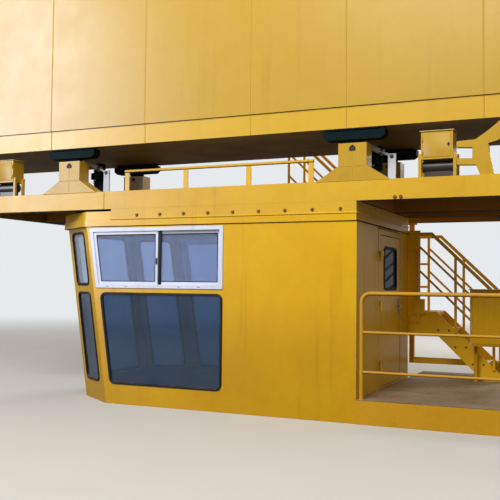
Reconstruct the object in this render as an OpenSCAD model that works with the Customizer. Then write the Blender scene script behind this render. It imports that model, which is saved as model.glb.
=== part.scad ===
// Operator's cab section of a gantry crane: a length of the box girder, the carrying
// frame hung under it, the cab bolted below the frame, the rear platform and the stair.
// +X runs to the back of the cab, +Y away from the near side, +Z up.

/* [Girder] */
// Length of girder that is built
girder_len = 8000; // [7200:100:9600]
// Width over the two webs
girder_w = 1600; // [1400:50:1800]
// Height from the underside to the top face
girder_h = 2000; // [1500:50:2200]
// Web plate thickness
web_t = 12; // [8:1:20]
// Top and bottom plate thickness
flange_t = 16; // [10:1:25]
// Height of the set-back band along the bottom
band_h = 225; // [150:5:300]
// Set-back of the band behind the web
band_recess = 15; // [5:1:25]
// Band plate thickness
band_t = 20; // [12:1:30]
// Width of the ledge that closes the web onto the band
ledge_w = 60; // [50:1:90]
// Diaphragm plate thickness
diaphragm_t = 8; // [6:1:16]
// Number of diaphragms, the two ends included
diaphragm_count = 8; // [4:1:12]
// Set-back of the end diaphragms from the girder's ends
end_inset = 30; // [10:5:60]

/* [Carrying frame] */
// Length of frame that is built
frame_len = 6800; // [6400:100:7200]
// Width over the outer beams
frame_w = 3100; // [3000:20:3300]
// Underside of the frame above the ground
frame_z = 2249; // [2230:1:2400]
// Height of the outer beams
beam_h = 207; // [180:1:260]
// Width of the main beams
beam_w = 180; // [150:5:200]
// Width of the trimmer beside the stair
trimmer_w = 120; // [100:5:140]
// Wall of the beams
beam_t = 10; // [6:1:14]
// Width of the cross beams
cross_w = 160; // [120:5:180]
// Deck plate thickness
deck_t = 6; // [4:1:10]
// Set-back of the cap plates in the beam ends
cap_inset = 10; // [0:1:30]

/* [Pedestals and hangers] */
// Gap between the frame's top and the girder's underside
girder_gap = 541; // [500:1:640]
// Height of a pedestal
pedestal_h = 384; // [340:1:400]
// Width of the pedestal's head
head_w = 300; // [240:5:340]
// Width of the pedestal's foot
foot_w = 770; // [600:10:860]
// Height of the sloping shoulders
shoulder_h = 150; // [100:5:190]
// Depth over the two cheeks
pedestal_d = 190; // [170:5:200]
// Cheek plate thickness
cheek_t = 25; // [15:1:30]
// Side and shoulder plate thickness
side_t = 15; // [8:1:20]
// Radius of the hanger pin
pin_r = 25; // [18:1:32]
// Height of the pin above the frame
pin_h = 337; // [310:1:345]
// Distance from the cab's back to the right pedestal's centre
pedestal_right = 47; // [0:1:120]
// Distance between the two pedestal centres
pedestal_pitch = 3530; // [3300:10:3700]
// Half length of the hanger's crosshead
crosshead_half = 330; // [280:5:380]
// Height of the crosshead
crosshead_h = 100; // [70:5:110]
// Hanger flange thickness
hanger_flange_t = 16; // [10:1:22]
// Thickness of the tongue between the cheeks
tongue_t = 60; // [40:2:90]
// Width of the tongue
tongue_w = 180; // [120:5:200]

/* [Machinery] */
// Radius of the upright gear motors
motor_r = 66; // [50:1:80]
// Height of the gear motors
motor_h = 405; // [340:5:440]
// Radius of the push cylinders' barrels
barrel_r = 32; // [24:1:38]
// Radius of the push cylinders' rods
rod_r = 15; // [10:1:20]
// Width of an end cabinet
cabinet_w = 309; // [260:1:340]
// Height of an end cabinet
cabinet_h = 275; // [220:5:290]
// Depth of an end cabinet
cabinet_d = 200; // [150:5:220]
// Height of the end cabinets above the frame
cabinet_lift = 172; // [150:1:190]
// Radius of the rollers under the end cabinets
roller_r = 56; // [40:1:62]
// Thickness of the curved end arms
arm_t = 70; // [40:5:100]
// Distance from the frame's right end to the right end cabinet
cabinet_right = 946; // [930:2:1000]
// Distance from the frame's left end to the left end cabinet
cabinet_left = 766; // [760:2:860]
// Width of an end cabinet's legs
leg_w = 30; // [20:1:36]
// Distance from a pedestal's centre to the gear motor beside it
motor_dx = 122; // [100:1:150]
// Distance from the near face to the gear motors
motor_y = 450; // [430:5:600]
// Distance from the near face to the push cylinders
pusher_y = 300; // [280:5:320]
// Height of the low rail along the deck
deck_rail_h = 264; // [220:2:300]

/* [Cab] */
// Length of the cab's sides at ground level
side_len = 3000; // [2900:10:3100]
// Width over the side walls' fixing plane
cab_w = 2250; // [2150:10:2300]
// Height of the walls
wall_h = 2050; // [2036:2:2070]
// Side and rear wall thickness
wall_t = 50; // [40:1:60]
// Thickness of the front and corner panels
front_t = 40; // [30:1:50]
// Set-back of the side walls behind the frame's face
wall_inset = 15; // [12:1:30]
// Forward lean of the front, sideways travel for each unit of height
lean = 0.155; // [0.1:0.005:0.2]
// Length of the slanted corners along the cab
corner_x = 575; // [500:5:640]
// Depth of the slanted corners across the cab
corner_y = 420; // [360:5:480]
// Roof slab thickness
roof_t = 175; // [150:5:190]
// Height of the roof's lower lip, which runs out under the collar
lip_h = 80; // [50:5:100]
// Roof overhang past the front
roof_lip = 65; // [30:5:100]
// Rounding of the roof's front corners
roof_round = 160; // [80:5:200]
// Length of the collar plate under the beam
collar_len = 2967; // [2800:10:3000]
// Collar plate thickness
collar_t = 12; // [8:1:14]
// Depth of the base rails under the floor
base_h = 180; // [120:5:200]
// Width of the base rails
base_w = 80; // [60:5:100]
// Floor thickness
floor_t = 20; // [10:1:30]

/* [Cab windows] */
// Distance from the cab's back to the side windows
side_window_u = 1508; // [1450:5:1600]
// Metal left in front of the upper side window
upper_margin = 45; // [40:5:150]
// Metal left in front of the lower side window
lower_margin = 85; // [80:5:180]
// Sill of the upper windows
upper_z0 = 1331; // [1325:1:1400]
// Head of the upper windows
upper_z1 = 2027; // [1900:1:2030]
// Sill of the lower windows
lower_z0 = 225; // [210:5:400]
// Head of the lower windows
lower_z1 = 1280; // [1150:5:1300]
// Metal left beside a corner or front window
corner_margin = 120; // [90:5:160]
// Rounding of the rubber-set panes
pane_round = 70; // [40:5:100]
// Width of the rubber gasket's face
gasket_w = 28; // [20:1:36]
// How far the gasket stands proud
gasket_proud = 8; // [4:1:10]
// Depth of the gasket in the wall
gasket_d = 30; // [20:1:36]
// Fixed pane thickness
glass_t = 8; // [5:1:12]
// Width of the aluminium frame's face
alu_w = 42; // [30:1:55]
// How far the aluminium frame stands proud
alu_proud = 12; // [6:1:12]
// Width of a sliding sash's rail
sash_w = 34; // [24:1:44]
// Thickness of a sliding sash
sash_t = 20; // [16:1:22]
// Share of the upper side window taken by the rear sash
sash_split = 0.51; // [0.4:0.01:0.6]
// Sliding pane thickness
slide_glass_t = 6; // [4:1:8]

/* [Cab door] */
// Near edge of the door opening
door_y = 900; // [850:5:950]
// Width of the door opening
door_w = 920; // [860:5:960]
// Sill of the door opening
door_z0 = 265; // [262:1:300]
// Head of the door opening
door_z1 = 1960; // [1900:5:1980]
// Thickness of the door leaf
leaf_t = 45; // [35:1:45]
// Gap at the hinge side, the head and the sill
leaf_gap = 6; // [5:0.5:8]
// Gap at the closing side
latch_gap = 9; // [8:0.5:12]
// Skin left over the door's pocket
leaf_skin = 4; // [2:0.5:8]
// Width of the trim around the opening
trim_w = 60; // [40:5:70]
// Trim thickness
trim_t = 4; // [3:1:6]
// Distance from the leaf's edge to the door window
door_pane_margin = 164; // [140:2:200]
// Sill of the door window
door_pane_z0 = 1335; // [1250:5:1400]
// Head of the door window
door_pane_z1 = 1838; // [1780:5:1860]
// Stand-off of the hinge axis from the wall
hinge_x = 24; // [23:1:30]
// Hinge knuckle radius
knuckle_r = 14; // [12:1:15]
// Hinge pin radius
hinge_pin_r = 8; // [6:0.5:9]
// Running clearance of the hinge pin
pin_clear = 0.1; // [0.05:0.05:0.1]
// Height of one hinge knuckle
knuckle_h = 55; // [40:1:70]
// Height of the door handle
handle_z = 1150; // [1050:10:1250]

/* [Rear platform] */
// Length of the platform
platform_len = 1800; // [1600:50:2200]
// Height of the platform
platform_h = 243; // [220:1:255]
// Width of the platform's edge rails
fascia_w = 60; // [50:5:80]
// Platform plate thickness
plate_t = 6; // [4:1:8]
// Height of the guard rail's top bar
rail_z = 1308; // [1200:5:1350]
// Radius of the guard rail's top bar and posts
rail_r = 21; // [17:0.5:24]
// Radius of the lower bars
bar_r = 14; // [10:0.5:17]
// Length of the guard rail across the platform's end
end_rail_len = 1450; // [1200:10:1600]
// Side of the square post beside the stair
post_w = 60; // [50:5:80]
// Near edge of the square post, along the frame from the cab's back
post_x = -150; // [-170:1:-130]
// Height of the kerb rail above the platform
kerb_h = 197; // [150:1:260]

/* [Stair] */
// Distance from the cab's back to the stair's foot
stair_foot = 1060; // [1000:10:1080]
// Slope of the stair in degrees
stair_slope = 44; // [43:0.5:45]
// Gap between the trimmer and the near stringer
stair_gap = 46; // [42:1:50]
// Clear width between the stringers
stair_w = 540; // [500:2:546]
// Number of risers
risers = 11; // [10:1:12]
// Depth of a stringer
stringer_d = 205; // [190:5:215]
// Stringer plate thickness
stringer_t = 12; // [8:1:14]
// Depth of a tread
tread_d = 235; // [210:5:260]
// Height of a tread's folded edge
tread_fold = 40; // [30:2:60]
// Tread plate thickness
tread_t = 5; // [4:0.5:8]
// Height of the hand rail over the stringer's centre line
hand_rail_h = 1060; // [1000:10:1150]
// Risers from the platform up to the landing
landing_risers = 4; // [4:1:5]
// Length of the stringer's level part at the landing
landing_len = 450; // [400:10:500]
// Width of the plate at the head of the lower flight's near rail
newel_w = 145; // [120:1:180]
// Height of the box on that plate
newel_box_h = 250; // [200:1:300]
// Underside of the box on that plate
newel_box_z = 1840; // [1800:1:1880]
// Distance from the cab's back to the cabinet beside the stair's foot
foot_cabinet_x = 800; // [760:5:860]
// Width of the foot cabinet
foot_cabinet_w = 460; // [360:5:560]
// Height of the foot cabinet
foot_cabinet_h = 670; // [500:5:760]
// Depth of the foot cabinet
foot_cabinet_d = 220; // [160:5:260]
// Underside of the foot cabinet above the ground
foot_cabinet_z = 680; // [500:5:760]

/* [Hidden] */

yellow = [0.93, 0.71, 0.16];
cab_yellow = [0.91, 0.64, 0.08];
teal = [0.10, 0.29, 0.28];
dark = [0.16, 0.16, 0.17];

cab_back = 1800;
near_y = -frame_w / 2;
frame_top = frame_z + beam_h;
inner_h = beam_h - deck_t;
girder_z = frame_top + girder_gap;
band_top = girder_z + band_h;
web_top = girder_z + girder_h - flange_t;
mid_y = girder_w - beam_w;
trimmer_y = cab_w - trimmer_w;
far_y = frame_w - beam_w;
frame_x0 = -cab_back - frame_len / 2;
frame_x1 = -cab_back + frame_len / 2;
pedestal_xs = [-pedestal_right - pedestal_pitch, -pedestal_right];
rise = (frame_top - platform_h) / risers;
going = rise / tan(stair_slope);
stringer_half = stringer_d / 2 / cos(stair_slope);
landing_top = platform_h + landing_risers * rise;
landing_line = landing_top + tread_fold / 2 + 5 - stringer_half;
landing_x1 = stair_foot - (landing_line - platform_h) / tan(stair_slope);
landing_x0 = landing_x1 - landing_len;
stair_top = landing_x0 - (frame_top - landing_line) / tan(stair_slope);
well_margin = 25;
well_x0 = stair_top - well_margin;
well_x1 = stair_foot;
cross_xs = [frame_x0 + cross_w / 2, pedestal_xs[0], -cab_back, pedestal_xs[1], frame_x1 - cross_w / 2];
well_cross_xs = [well_x0 - cross_w / 2, well_x1 + cross_w / 2];
small = 0.3;
post_y = far_y + 30;

// Places children in the cab's own axes: back of the cab at X 0, near face at Y 0
module site() { translate([cab_back, near_y, 0]) children(); }

// Turns the plane's X, Y into the site's Y, Z and extrudes along X
module along_x(length) { rotate([90, 0, 90]) linear_extrude(length) children(); }

// Turns the plane's X, Y into the site's X, Z and extrudes along +Y
module along_y(length) { translate([0, length, 0]) rotate([90, 0, 0]) linear_extrude(length) children(); }

// Round bar between two points
module bar(a, b, r) {
  d = b - a;
  translate(a)
    rotate([0, acos(d.z / norm(d)), atan2(d.y, d.x)])
      cylinder(r = r, h = norm(d), $fn = 32);
}

function unit(v) = v / norm(v);
function turn(v) = [-v.y, v.x];
function around(q, i) = q[(i + len(q)) % len(q)];

// Moves every side of a counter-clockwise outline inwards by d
function inset(q, d) = [
  for (i = [0 : len(q) - 1])
    let (n1 = turn(unit(q[i] - around(q, i - 1))), n2 = turn(unit(around(q, i + 1) - q[i])))
      q[i] + (n1 + n2) * d / (1 + n1 * n2)
];

// Arc of radius r that rounds the corner b between a and c
function corner_arc(a, b, c, r, n) =
  let (u = unit(a - b), w = unit(c - b), half = acos(u * w) / 2,
       centre = b + unit(u + w) * r / sin(half),
       s = b + u * r / tan(half) - centre, e = b + w * r / tan(half) - centre,
       a0 = atan2(s.y, s.x), turned = atan2(e.y, e.x) - a0,
       sweep = turned > 180 ? turned - 360 : turned < -180 ? turned + 360 : turned)
    [for (i = [0 : n]) centre + r * [cos(a0 + sweep * i / n), sin(a0 + sweep * i / n)]];

function rounded(q, r, n = 5) = [
  for (i = [0 : len(q) - 1]) each corner_arc(around(q, i - 1), q[i], around(q, i + 1), r, n)
];

// Outline of the cab's walls at height z, counter-clockwise from the back near corner
function plan(z) =
  let (x1 = -side_len - lean * z, x2 = x1 - corner_x, y0 = wall_inset, y1 = wall_inset + corner_y)
    [[0, y0], [0, cab_w - y0], [x1, cab_w - y0], [x2, cab_w - y1], [x2, y1], [x1, y0]];

module tube_x(x0, x1, y, z, w, h) {
  translate([x0, y, z]) difference() {
    cube([x1 - x0, w, h]);
    translate([-1, beam_t, beam_t]) cube([x1 - x0 + 2, w - 2 * beam_t, h - 2 * beam_t]);
  }
}

module tube_y(x, y0, y1, z, w, h) {
  translate([x - w / 2, y0, z]) difference() {
    cube([w, y1 - y0, h]);
    translate([beam_t, -1, beam_t]) cube([w - 2 * beam_t, y1 - y0 + 2, h - 2 * beam_t]);
  }
}

// Girder

module girder_web() {
  site() translate([-cab_back - girder_len / 2, 0, 0]) along_x(girder_len)
    polygon([[0, band_top], [ledge_w, band_top], [ledge_w, band_top + web_t],
             [web_t, band_top + web_t], [web_t, web_top], [0, web_top]]);
}

// Reflects children from the girder's near side to its far side
module girder_far() {
  translate([0, 2 * (near_y + girder_w / 2), 0]) mirror([0, 1, 0]) children();
}

module girder_webs() {
  color(yellow) {
    girder_web();
    girder_far() girder_web();
  }
}

module girder_top_plate() {
  color(yellow) translate([-girder_len / 2, near_y, web_top]) cube([girder_len, girder_w, flange_t]);
}

module girder_bottom_plate() {
  inner = band_recess + band_t;
  color(yellow) translate([-girder_len / 2, near_y + inner, girder_z])
    cube([girder_len, girder_w - 2 * inner, flange_t]);
}

module girder_band() {
  translate([-girder_len / 2, near_y + band_recess, girder_z]) cube([girder_len, band_t, band_h]);
}

module girder_bands() {
  color(yellow) {
    girder_band();
    girder_far() girder_band();
  }
}

module girder_diaphragms() {
  a = band_recess + band_t;
  z0 = girder_z + flange_t;
  z1 = band_top + web_t;
  half = [[a, z0], [a, band_top], [ledge_w, band_top], [ledge_w, z1], [web_t, z1], [web_t, web_top]];
  other = [for (i = [len(half) - 1 : -1 : 0]) [girder_w - half[i].x, half[i].y]];
  first = -girder_len / 2 + end_inset;
  pitch = (girder_len - 2 * end_inset - diaphragm_t) / (diaphragm_count - 1);
  color(yellow) for (i = [0 : diaphragm_count - 1])
    translate([first + i * pitch, near_y, 0]) along_x(diaphragm_t) polygon(concat(half, other));
}

// Pedestals and hangers

// Repeats children at both pedestals of the near row and, mirrored, of the inner row
module at_pedestals() {
  for (x = pedestal_xs) {
    site() translate([x, 0, frame_top]) children();
    girder_far() site() translate([x, 0, frame_top]) children();
  }
}

module pedestal() {
  cheek = [[-foot_w / 2, 0], [foot_w / 2, 0], [head_w / 2, shoulder_h], [head_w / 2, pedestal_h],
           [-head_w / 2, pedestal_h], [-head_w / 2, shoulder_h]];
  inner = inset(cheek, side_t);
  difference() {
    union() {
      for (y = [0, pedestal_d - cheek_t]) translate([0, y, 0]) along_y(cheek_t) polygon(cheek);
      difference() {
        along_y(pedestal_d) polygon(cheek);
        translate([0, -1, 0]) along_y(pedestal_d + 2)
          polygon([inner[0], inner[1], inner[2], [inner[3].x, pedestal_h + 1],
                   [inner[4].x, pedestal_h + 1], inner[5]]);
      }
    }
    translate([0, -1, pin_h]) rotate([-90, 0, 0])
      cylinder(r = pin_r + small, h = pedestal_d + 2, $fn = 48);
  }
}

module pedestals() { color(yellow) at_pedestals() pedestal(); }

module hanger_bracket() {
  flange_z = girder_gap - hanger_flange_t;
  head_z = flange_z - crosshead_h;
  translate([-crosshead_half + 60, band_recess, flange_z])
    cube([2 * crosshead_half - 120, pedestal_d - band_recess, hanger_flange_t]);
  translate([0, cheek_t + 5, 0]) along_y(pedestal_d - 2 * cheek_t - 10)
    polygon([[-crosshead_half, head_z + 35], [-crosshead_half + 45, head_z],
             [crosshead_half - 45, head_z], [crosshead_half, head_z + 35],
             [crosshead_half, flange_z], [-crosshead_half, flange_z]]);
  difference() {
    translate([0, (pedestal_d - tongue_t) / 2, 0]) along_y(tongue_t) union() {
      translate([-tongue_w / 2, pin_h]) square([tongue_w, head_z - pin_h]);
      intersection() {
        translate([0, pin_h]) circle(r = tongue_w / 2, $fn = 48);
        translate([-tongue_w / 2, pin_h - tongue_w / 2]) square([tongue_w, tongue_w / 2]);
      }
    }
    translate([0, 0, pin_h]) rotate([-90, 0, 0])
      cylinder(r = pin_r + small, h = pedestal_d, $fn = 48);
  }
}

module hanger_brackets() { color(teal) at_pedestals() hanger_bracket(); }

module hanger_pins() {
  color(dark) at_pedestals() translate([0, 6, pin_h]) rotate([-90, 0, 0])
    cylinder(r = pin_r, h = pedestal_d - 12, $fn = 48);
}

module gear_motors() {
  foot = motor_r + 16;
  foot_h = 14;
  gearbox_h = 120;
  rib_z = 160;
  rib_h = 10;
  rib_pitch = 26;
  color(teal) for (x = pedestal_xs) site() translate([x + motor_dx, motor_y, frame_top]) {
    cylinder(r = motor_r, h = motor_h, $fn = 48);
    translate([-foot, -foot, 0]) cube([2 * foot, 2 * foot, foot_h]);
    translate([-motor_r, -motor_r, foot_h]) cube([2 * motor_r, 2 * motor_r, gearbox_h]);
    for (z = [rib_z : rib_pitch : motor_h - rib_h - 30]) translate([0, 0, z])
      cylinder(r = motor_r + 9, h = rib_h, $fn = 48);
  }
}

module push_cylinders() {
  upper = [-95, pusher_y, girder_gap - 62];
  lower = [335, pusher_y, 270];
  dir = unit(lower - upper);
  lug_w = 80;
  lug_t = 24;
  lug_over = 30;
  base_t = 12;
  color([0.45, 0.55, 0.62]) for (x = pedestal_xs) site() translate([x, 0, frame_top]) {
    bar(upper, lower, rod_r);
    bar(upper + dir * 60, upper + dir * 370, barrel_r);
    translate([upper.x - lug_w / 2, pusher_y - lug_t / 2, upper.z - lug_over])
      cube([lug_w, lug_t, girder_gap - upper.z + lug_over]);
    translate([lower.x - lug_w / 2, pusher_y - lug_t / 2, base_t - 2]) cube([lug_w, lug_t, lower.z + 20]);
    translate([lower.x - lug_w, pusher_y - 50, 0]) cube([2 * lug_w, 100, base_t]);
  }
}

// Carrying frame

module near_beam() { color(yellow) site() tube_x(frame_x0, frame_x1, 0, frame_z, beam_w, beam_h); }
module mid_beam() { color(yellow) site() tube_x(frame_x0, frame_x1, mid_y, frame_z, beam_w, inner_h); }
module trimmer_beam() {
  color(yellow) site() tube_x(frame_x0, frame_x1, trimmer_y, frame_z, trimmer_w, inner_h);
}
module far_beam() { color(yellow) site() tube_x(frame_x0, frame_x1, far_y, frame_z, beam_w, beam_h); }

module cross_beams() {
  color(yellow) site() {
    for (x = cross_xs) {
      tube_y(x, beam_w, mid_y, frame_z, cross_w, inner_h);
      tube_y(x, girder_w, trimmer_y, frame_z, cross_w, inner_h);
    }
    for (x = concat([for (x = cross_xs) if (x < well_x0 - 2 * cross_w || x > well_x1 + 2 * cross_w) x],
                    well_cross_xs))
      tube_y(x, cab_w, far_y, frame_z, cross_w, inner_h);
  }
}

module beam_caps() {
  rows = [[0, beam_w, beam_h], [mid_y, beam_w, inner_h], [trimmer_y, trimmer_w, inner_h],
          [far_y, beam_w, beam_h]];
  color(yellow) site() for (r = rows, x = [frame_x0 + cap_inset, frame_x1 - cap_inset - beam_t])
    translate([x, r[0] + beam_t, frame_z + beam_t])
      cube([beam_t, r[1] - 2 * beam_t, r[2] - 2 * beam_t]);
}

module deck_plate() {
  color([0.45, 0.33, 0.2]) site() translate([frame_x0, beam_w, frame_top - deck_t])
    cube([frame_len, cab_w - beam_w, deck_t]);
}

module side_deck() {
  color([0.45, 0.33, 0.2]) site() {
    translate([frame_x0, cab_w, frame_top - deck_t]) cube([well_x0 - frame_x0, far_y - cab_w, deck_t]);
    translate([well_x1, cab_w, frame_top - deck_t]) cube([frame_x1 - well_x1, far_y - cab_w, deck_t]);
  }
}

module deck_rail() {
  x0 = pedestal_xs[0] + foot_w / 2 + 250;
  x1 = pedestal_xs[1] - foot_w / 2 - 120;
  flat_w = 60;
  flat_t = 10;
  bays = 3;
  color(yellow) site() translate([0, beam_w + 70, frame_top]) {
    bar([x0, 0, deck_rail_h], [x1, 0, deck_rail_h], 17);
    for (i = [0 : bays]) translate([x0 + i * (x1 - x0) / bays - (i == bays ? flat_w : 0), -flat_t / 2, 0])
      cube([flat_w, flat_t, deck_rail_h]);
  }
}

module end_cabinet() {
  leg_h = cabinet_lift + 60;
  translate([0, 0, cabinet_lift]) cube([cabinet_w, cabinet_d, cabinet_h]);
  for (x = [-leg_w, cabinet_w], y = [10, cabinet_d - 10 - leg_w]) {
    translate([x, y, 0]) cube([leg_w, leg_w, leg_h]);
  }
}

// Places children at the right end and, mirrored, at the left end of the frame
module at_ends() {
  site() translate([frame_x1 - cabinet_right, 0, frame_top]) children();
  site() translate([frame_x0 + cabinet_left, 0, frame_top]) mirror([1, 0, 0]) children();
}

module end_cabinets() { color(yellow) at_ends() end_cabinet(); }

module end_rollers() {
  color([0.45, 0.5, 0.56]) at_ends() {
    translate([small, cabinet_d / 2, cabinet_lift - roller_r - 8]) rotate([0, 90, 0])
      cylinder(r = roller_r, h = cabinet_w - 2 * small, $fn = 48);
    translate([small, cabinet_d / 2, 0]) translate([20, -30, 0])
      cube([cabinet_w - 40 - 2 * small, 60, cabinet_lift - 2 * roller_r + 4]);
  }
}

// Arm that rises from the frame beside the cabinet and curves up to the girder. Its two
// fingers end against the cabinet's leg
module end_arm() {
  x0 = cabinet_w + leg_w;
  z1 = girder_gap;
  outline = [[221, 0], [351, 0], [311, 200], [297, 300], [381, 322], [521, 395], [607, z1 - 81],
             [607, z1], [427, z1], [427, z1 - 12], [301, z1 - 115], [177, 343], [0, 336], [0, 278],
             [149, 268], [149, 162], [0, 171], [0, 108], [181, 100]];
  translate([x0, 20, 0]) along_y(arm_t) polygon(outline);
}

module end_arms() { color(yellow) at_ends() end_arm(); }

// Cab walls

// Frame of a wall plane: X along the wall, Z up it, -Y into the cab. o is the foot of its
// starting edge, az the direction of X, tau the outward lean
module wall_plane(o, az, tau) { translate(o) rotate([0, 0, az]) rotate([-tau, 0, 0]) children(); }

// Plate in a wall plane between the depths d0 and d1 under its outer face
module sheet(q, d0, d1) { translate([0, -d0, 0]) rotate([90, 0, 0]) linear_extrude(d1 - d0) polygon(q); }

corner_len = norm([corner_x, corner_y]);
corner_a = atan2(corner_y, corner_x);
corner_tau = atan(lean * sin(corner_a));
front_tau = atan(lean);
front_len = cab_w - 2 * (wall_inset + corner_y);

module near_plane() { wall_plane([0, wall_inset, 0], 180, 0) children(); }
module corner_plane() { wall_plane([-side_len, wall_inset, 0], 180 - corner_a, corner_tau) children(); }
module front_plane() {
  wall_plane([-side_len - corner_x, wall_inset + corner_y, 0], 90, front_tau) children();
}
module cab_far() { translate([0, cab_w, 0]) mirror([0, 1, 0]) children(); }

function side_u(z, margin) = side_len + lean * z - margin;
function side_quad(z0, z1, margin) =
  [[side_window_u, z0], [side_u(z0, margin), z0], [side_u(z1, margin), z1], [side_window_u, z1]];
function corner_uv(w, z) = [w + lean * cos(corner_a) * z, z / cos(corner_tau)];
function corner_quad(z0, z1, margin) = [
  corner_uv(margin, z0), corner_uv(corner_len - margin, z0),
  corner_uv(corner_len - margin, z1), corner_uv(margin, z1)
];
function front_quad(z0, z1, margin) = [
  [margin, z0 / cos(front_tau)], [front_len - margin, z0 / cos(front_tau)],
  [front_len - margin, z1 / cos(front_tau)], [margin, z1 / cos(front_tau)]
];

rows = [[lower_z0, lower_z1], [upper_z0 + 25, upper_z1 - 25]];
upper_side = side_quad(upper_z0, upper_z1, upper_margin);
lower_side = side_quad(lower_z0, lower_z1, lower_margin);

module side_wall() {
  near_plane() difference() {
    sheet([[0, 0], [side_len, 0], [side_len + lean * wall_h, wall_h], [0, wall_h]], 0, wall_t);
    sheet(rounded(upper_side, 12, 3), -1, wall_t + 1);
    sheet(rounded(lower_side, pane_round), -1, wall_t + 1);
  }
}

module near_wall() { color(cab_yellow) site() side_wall(); }
module far_wall() { color(cab_yellow) site() cab_far() side_wall(); }

module rear_wall_sides() {
  door_y1 = door_y + door_w;
  y0 = wall_inset + wall_t;
  color(cab_yellow) site() {
    translate([-wall_t, y0, 0]) cube([wall_t, door_y - y0, wall_h]);
    translate([-wall_t, door_y1, 0]) cube([wall_t, cab_w - y0 - door_y1, wall_h]);
  }
}

module rear_wall_head() {
  color(cab_yellow) site() {
    translate([-wall_t, door_y, door_z1]) cube([wall_t, door_w, wall_h - door_z1]);
    translate([-wall_t, door_y, 0]) cube([wall_t, door_w, door_z0]);
  }
}

module front_panel() {
  over = 60;
  color(cab_yellow) site() intersection() {
    front_plane() difference() {
      sheet(front_quad(-over, wall_h + over, 0), 0, front_t);
      for (r = rows) sheet(rounded(front_quad(r[0], r[1], corner_margin), pane_round), -1, front_t + 1);
    }
    translate([-side_len - corner_x - lean * wall_h - 50, 0, 0])
      cube([corner_x + lean * wall_h + 100, cab_w, wall_h]);
  }
}

// Region in front of the side wall's leaning edge
module ahead_of_side() {
  reach = side_len + corner_x + lean * wall_h + 100;
  translate([0, wall_inset, 0]) along_y(corner_y - small)
    polygon([[-side_len, 0], [-side_len - lean * wall_h, wall_h], [-reach, wall_h], [-reach, 0]]);
}

module corner_panel() {
  over = 60;
  intersection() {
    corner_plane() difference() {
      sheet([corner_uv(-over, -over), corner_uv(corner_len + over, -over),
             corner_uv(corner_len + over, wall_h + over), corner_uv(-over, wall_h + over)], 0, front_t);
      for (r = rows) sheet(rounded(corner_quad(r[0], r[1], corner_margin), pane_round), -1, front_t + 1);
    }
    ahead_of_side();
  }
}

module corner_panels() {
  color(cab_yellow) site() {
    corner_panel();
    cab_far() corner_panel();
  }
}

// Roof plan set back by d from the collar's outer faces, rounded at the front corners
module roof_plan(d) {
  top = plan(wall_h);
  y1 = top[5].y + corner_y - roof_lip / 2;
  x1 = top[5].x - roof_lip / 2;
  x2 = top[4].x - roof_lip + d;
  near = [[x2, y1], [x1, d]];
  polygon(concat(
    corner_arc([x2, cab_w / 2], near[0], near[1], roof_round, 8),
    corner_arc(near[0], near[1], [-d, d], roof_round, 6),
    [[-d, d], [-d, cab_w - d]],
    corner_arc([-d, cab_w - d], [x1, cab_w - d], [x2, cab_w - y1], roof_round, 6),
    corner_arc([x1, cab_w - d], [x2, cab_w - y1], [x2, cab_w / 2], roof_round, 8)));
}

module cab_roof() {
  color(cab_yellow) site() translate([0, 0, wall_h]) {
    linear_extrude(lip_h) roof_plan(0);
    linear_extrude(roof_t) roof_plan(collar_t);
  }
}

module roof_collar() {
  z0 = wall_h + lip_h;
  z1 = wall_h + roof_t + small;
  h = frame_z - z0;
  color(yellow) site() {
    for (y = [0, cab_w - collar_t]) translate([-collar_len, y, z0]) cube([collar_len, collar_t, h]);
    translate([-collar_t, 0, z0]) cube([collar_t, cab_w, h]);
    translate([-collar_len, 0, z1]) cube([collar_t, cab_w, frame_z - z1]);
  }
}

module cab_base_rails() {
  y0 = wall_inset + wall_t;
  color(dark) site() for (y = [y0, cab_w - y0 - base_w])
    translate([-side_len + 40, y, 0]) cube([side_len - wall_t - 40, base_w, base_h]);
}

module cab_base_joists() {
  y0 = wall_inset + wall_t + base_w;
  span = cab_w - 2 * y0;
  last = side_len - 40 - base_w;
  front_x = -side_len - corner_x + front_t / cos(front_tau) + 6;
  front_y = wall_inset + corner_y + 40;
  color(dark) site() {
    for (i = [0 : 3]) translate([-wall_t - base_w - i * (last - wall_t) / 3, y0, 0])
      cube([base_w, span, base_h]);
    translate([front_x, front_y, 0]) cube([base_w, cab_w - 2 * front_y, base_h]);
  }
}

module cab_floor() {
  color([0.25, 0.25, 0.26]) site() translate([0, 0, base_h]) linear_extrude(floor_t)
    polygon(inset(plan(base_h), wall_t + 1));
}

// Cab windows

module ring(outer, width, d0, d1, r) {
  difference() {
    sheet(rounded(outer, r), d0, d1);
    sheet(rounded(inset(outer, width), max(r - width, 6)), d0 - 1, d1 + 1);
  }
}

module gasket(q) { ring(q, gasket_w, -gasket_proud, gasket_d, pane_round); }
module pane(q) { sheet(rounded(inset(q, gasket_w), pane_round - gasket_w), 6, 6 + glass_t); }

// Repeats a fixed window's piece, picked by index, in every opening that has rubber
module fixed_piece(kind) {
  module piece(q) {
    if (kind == 0) gasket(q);
    else pane(q);
  }
  module one_side() {
    near_plane() piece(lower_side);
    corner_plane() for (r = rows) piece(corner_quad(r[0], r[1], corner_margin));
  }
  site() {
    one_side();
    cab_far() one_side();
    front_plane() for (r = rows) piece(front_quad(r[0], r[1], corner_margin));
  }
}

module window_gaskets() { color(dark) fixed_piece(0); }
module fixed_glass() { color([0.35, 0.42, 0.48, 0.5]) fixed_piece(1); }

module both_sides() {
  site() {
    near_plane() children();
    cab_far() near_plane() children();
  }
}

module window_frames() {
  color([0.88, 0.88, 0.92]) both_sides() difference() {
    sheet(rounded(upper_side, 12, 3), -alu_proud, wall_t);
    sheet(inset(upper_side, alu_w), -alu_proud - 1, wall_t + 1);
  }
}

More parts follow.
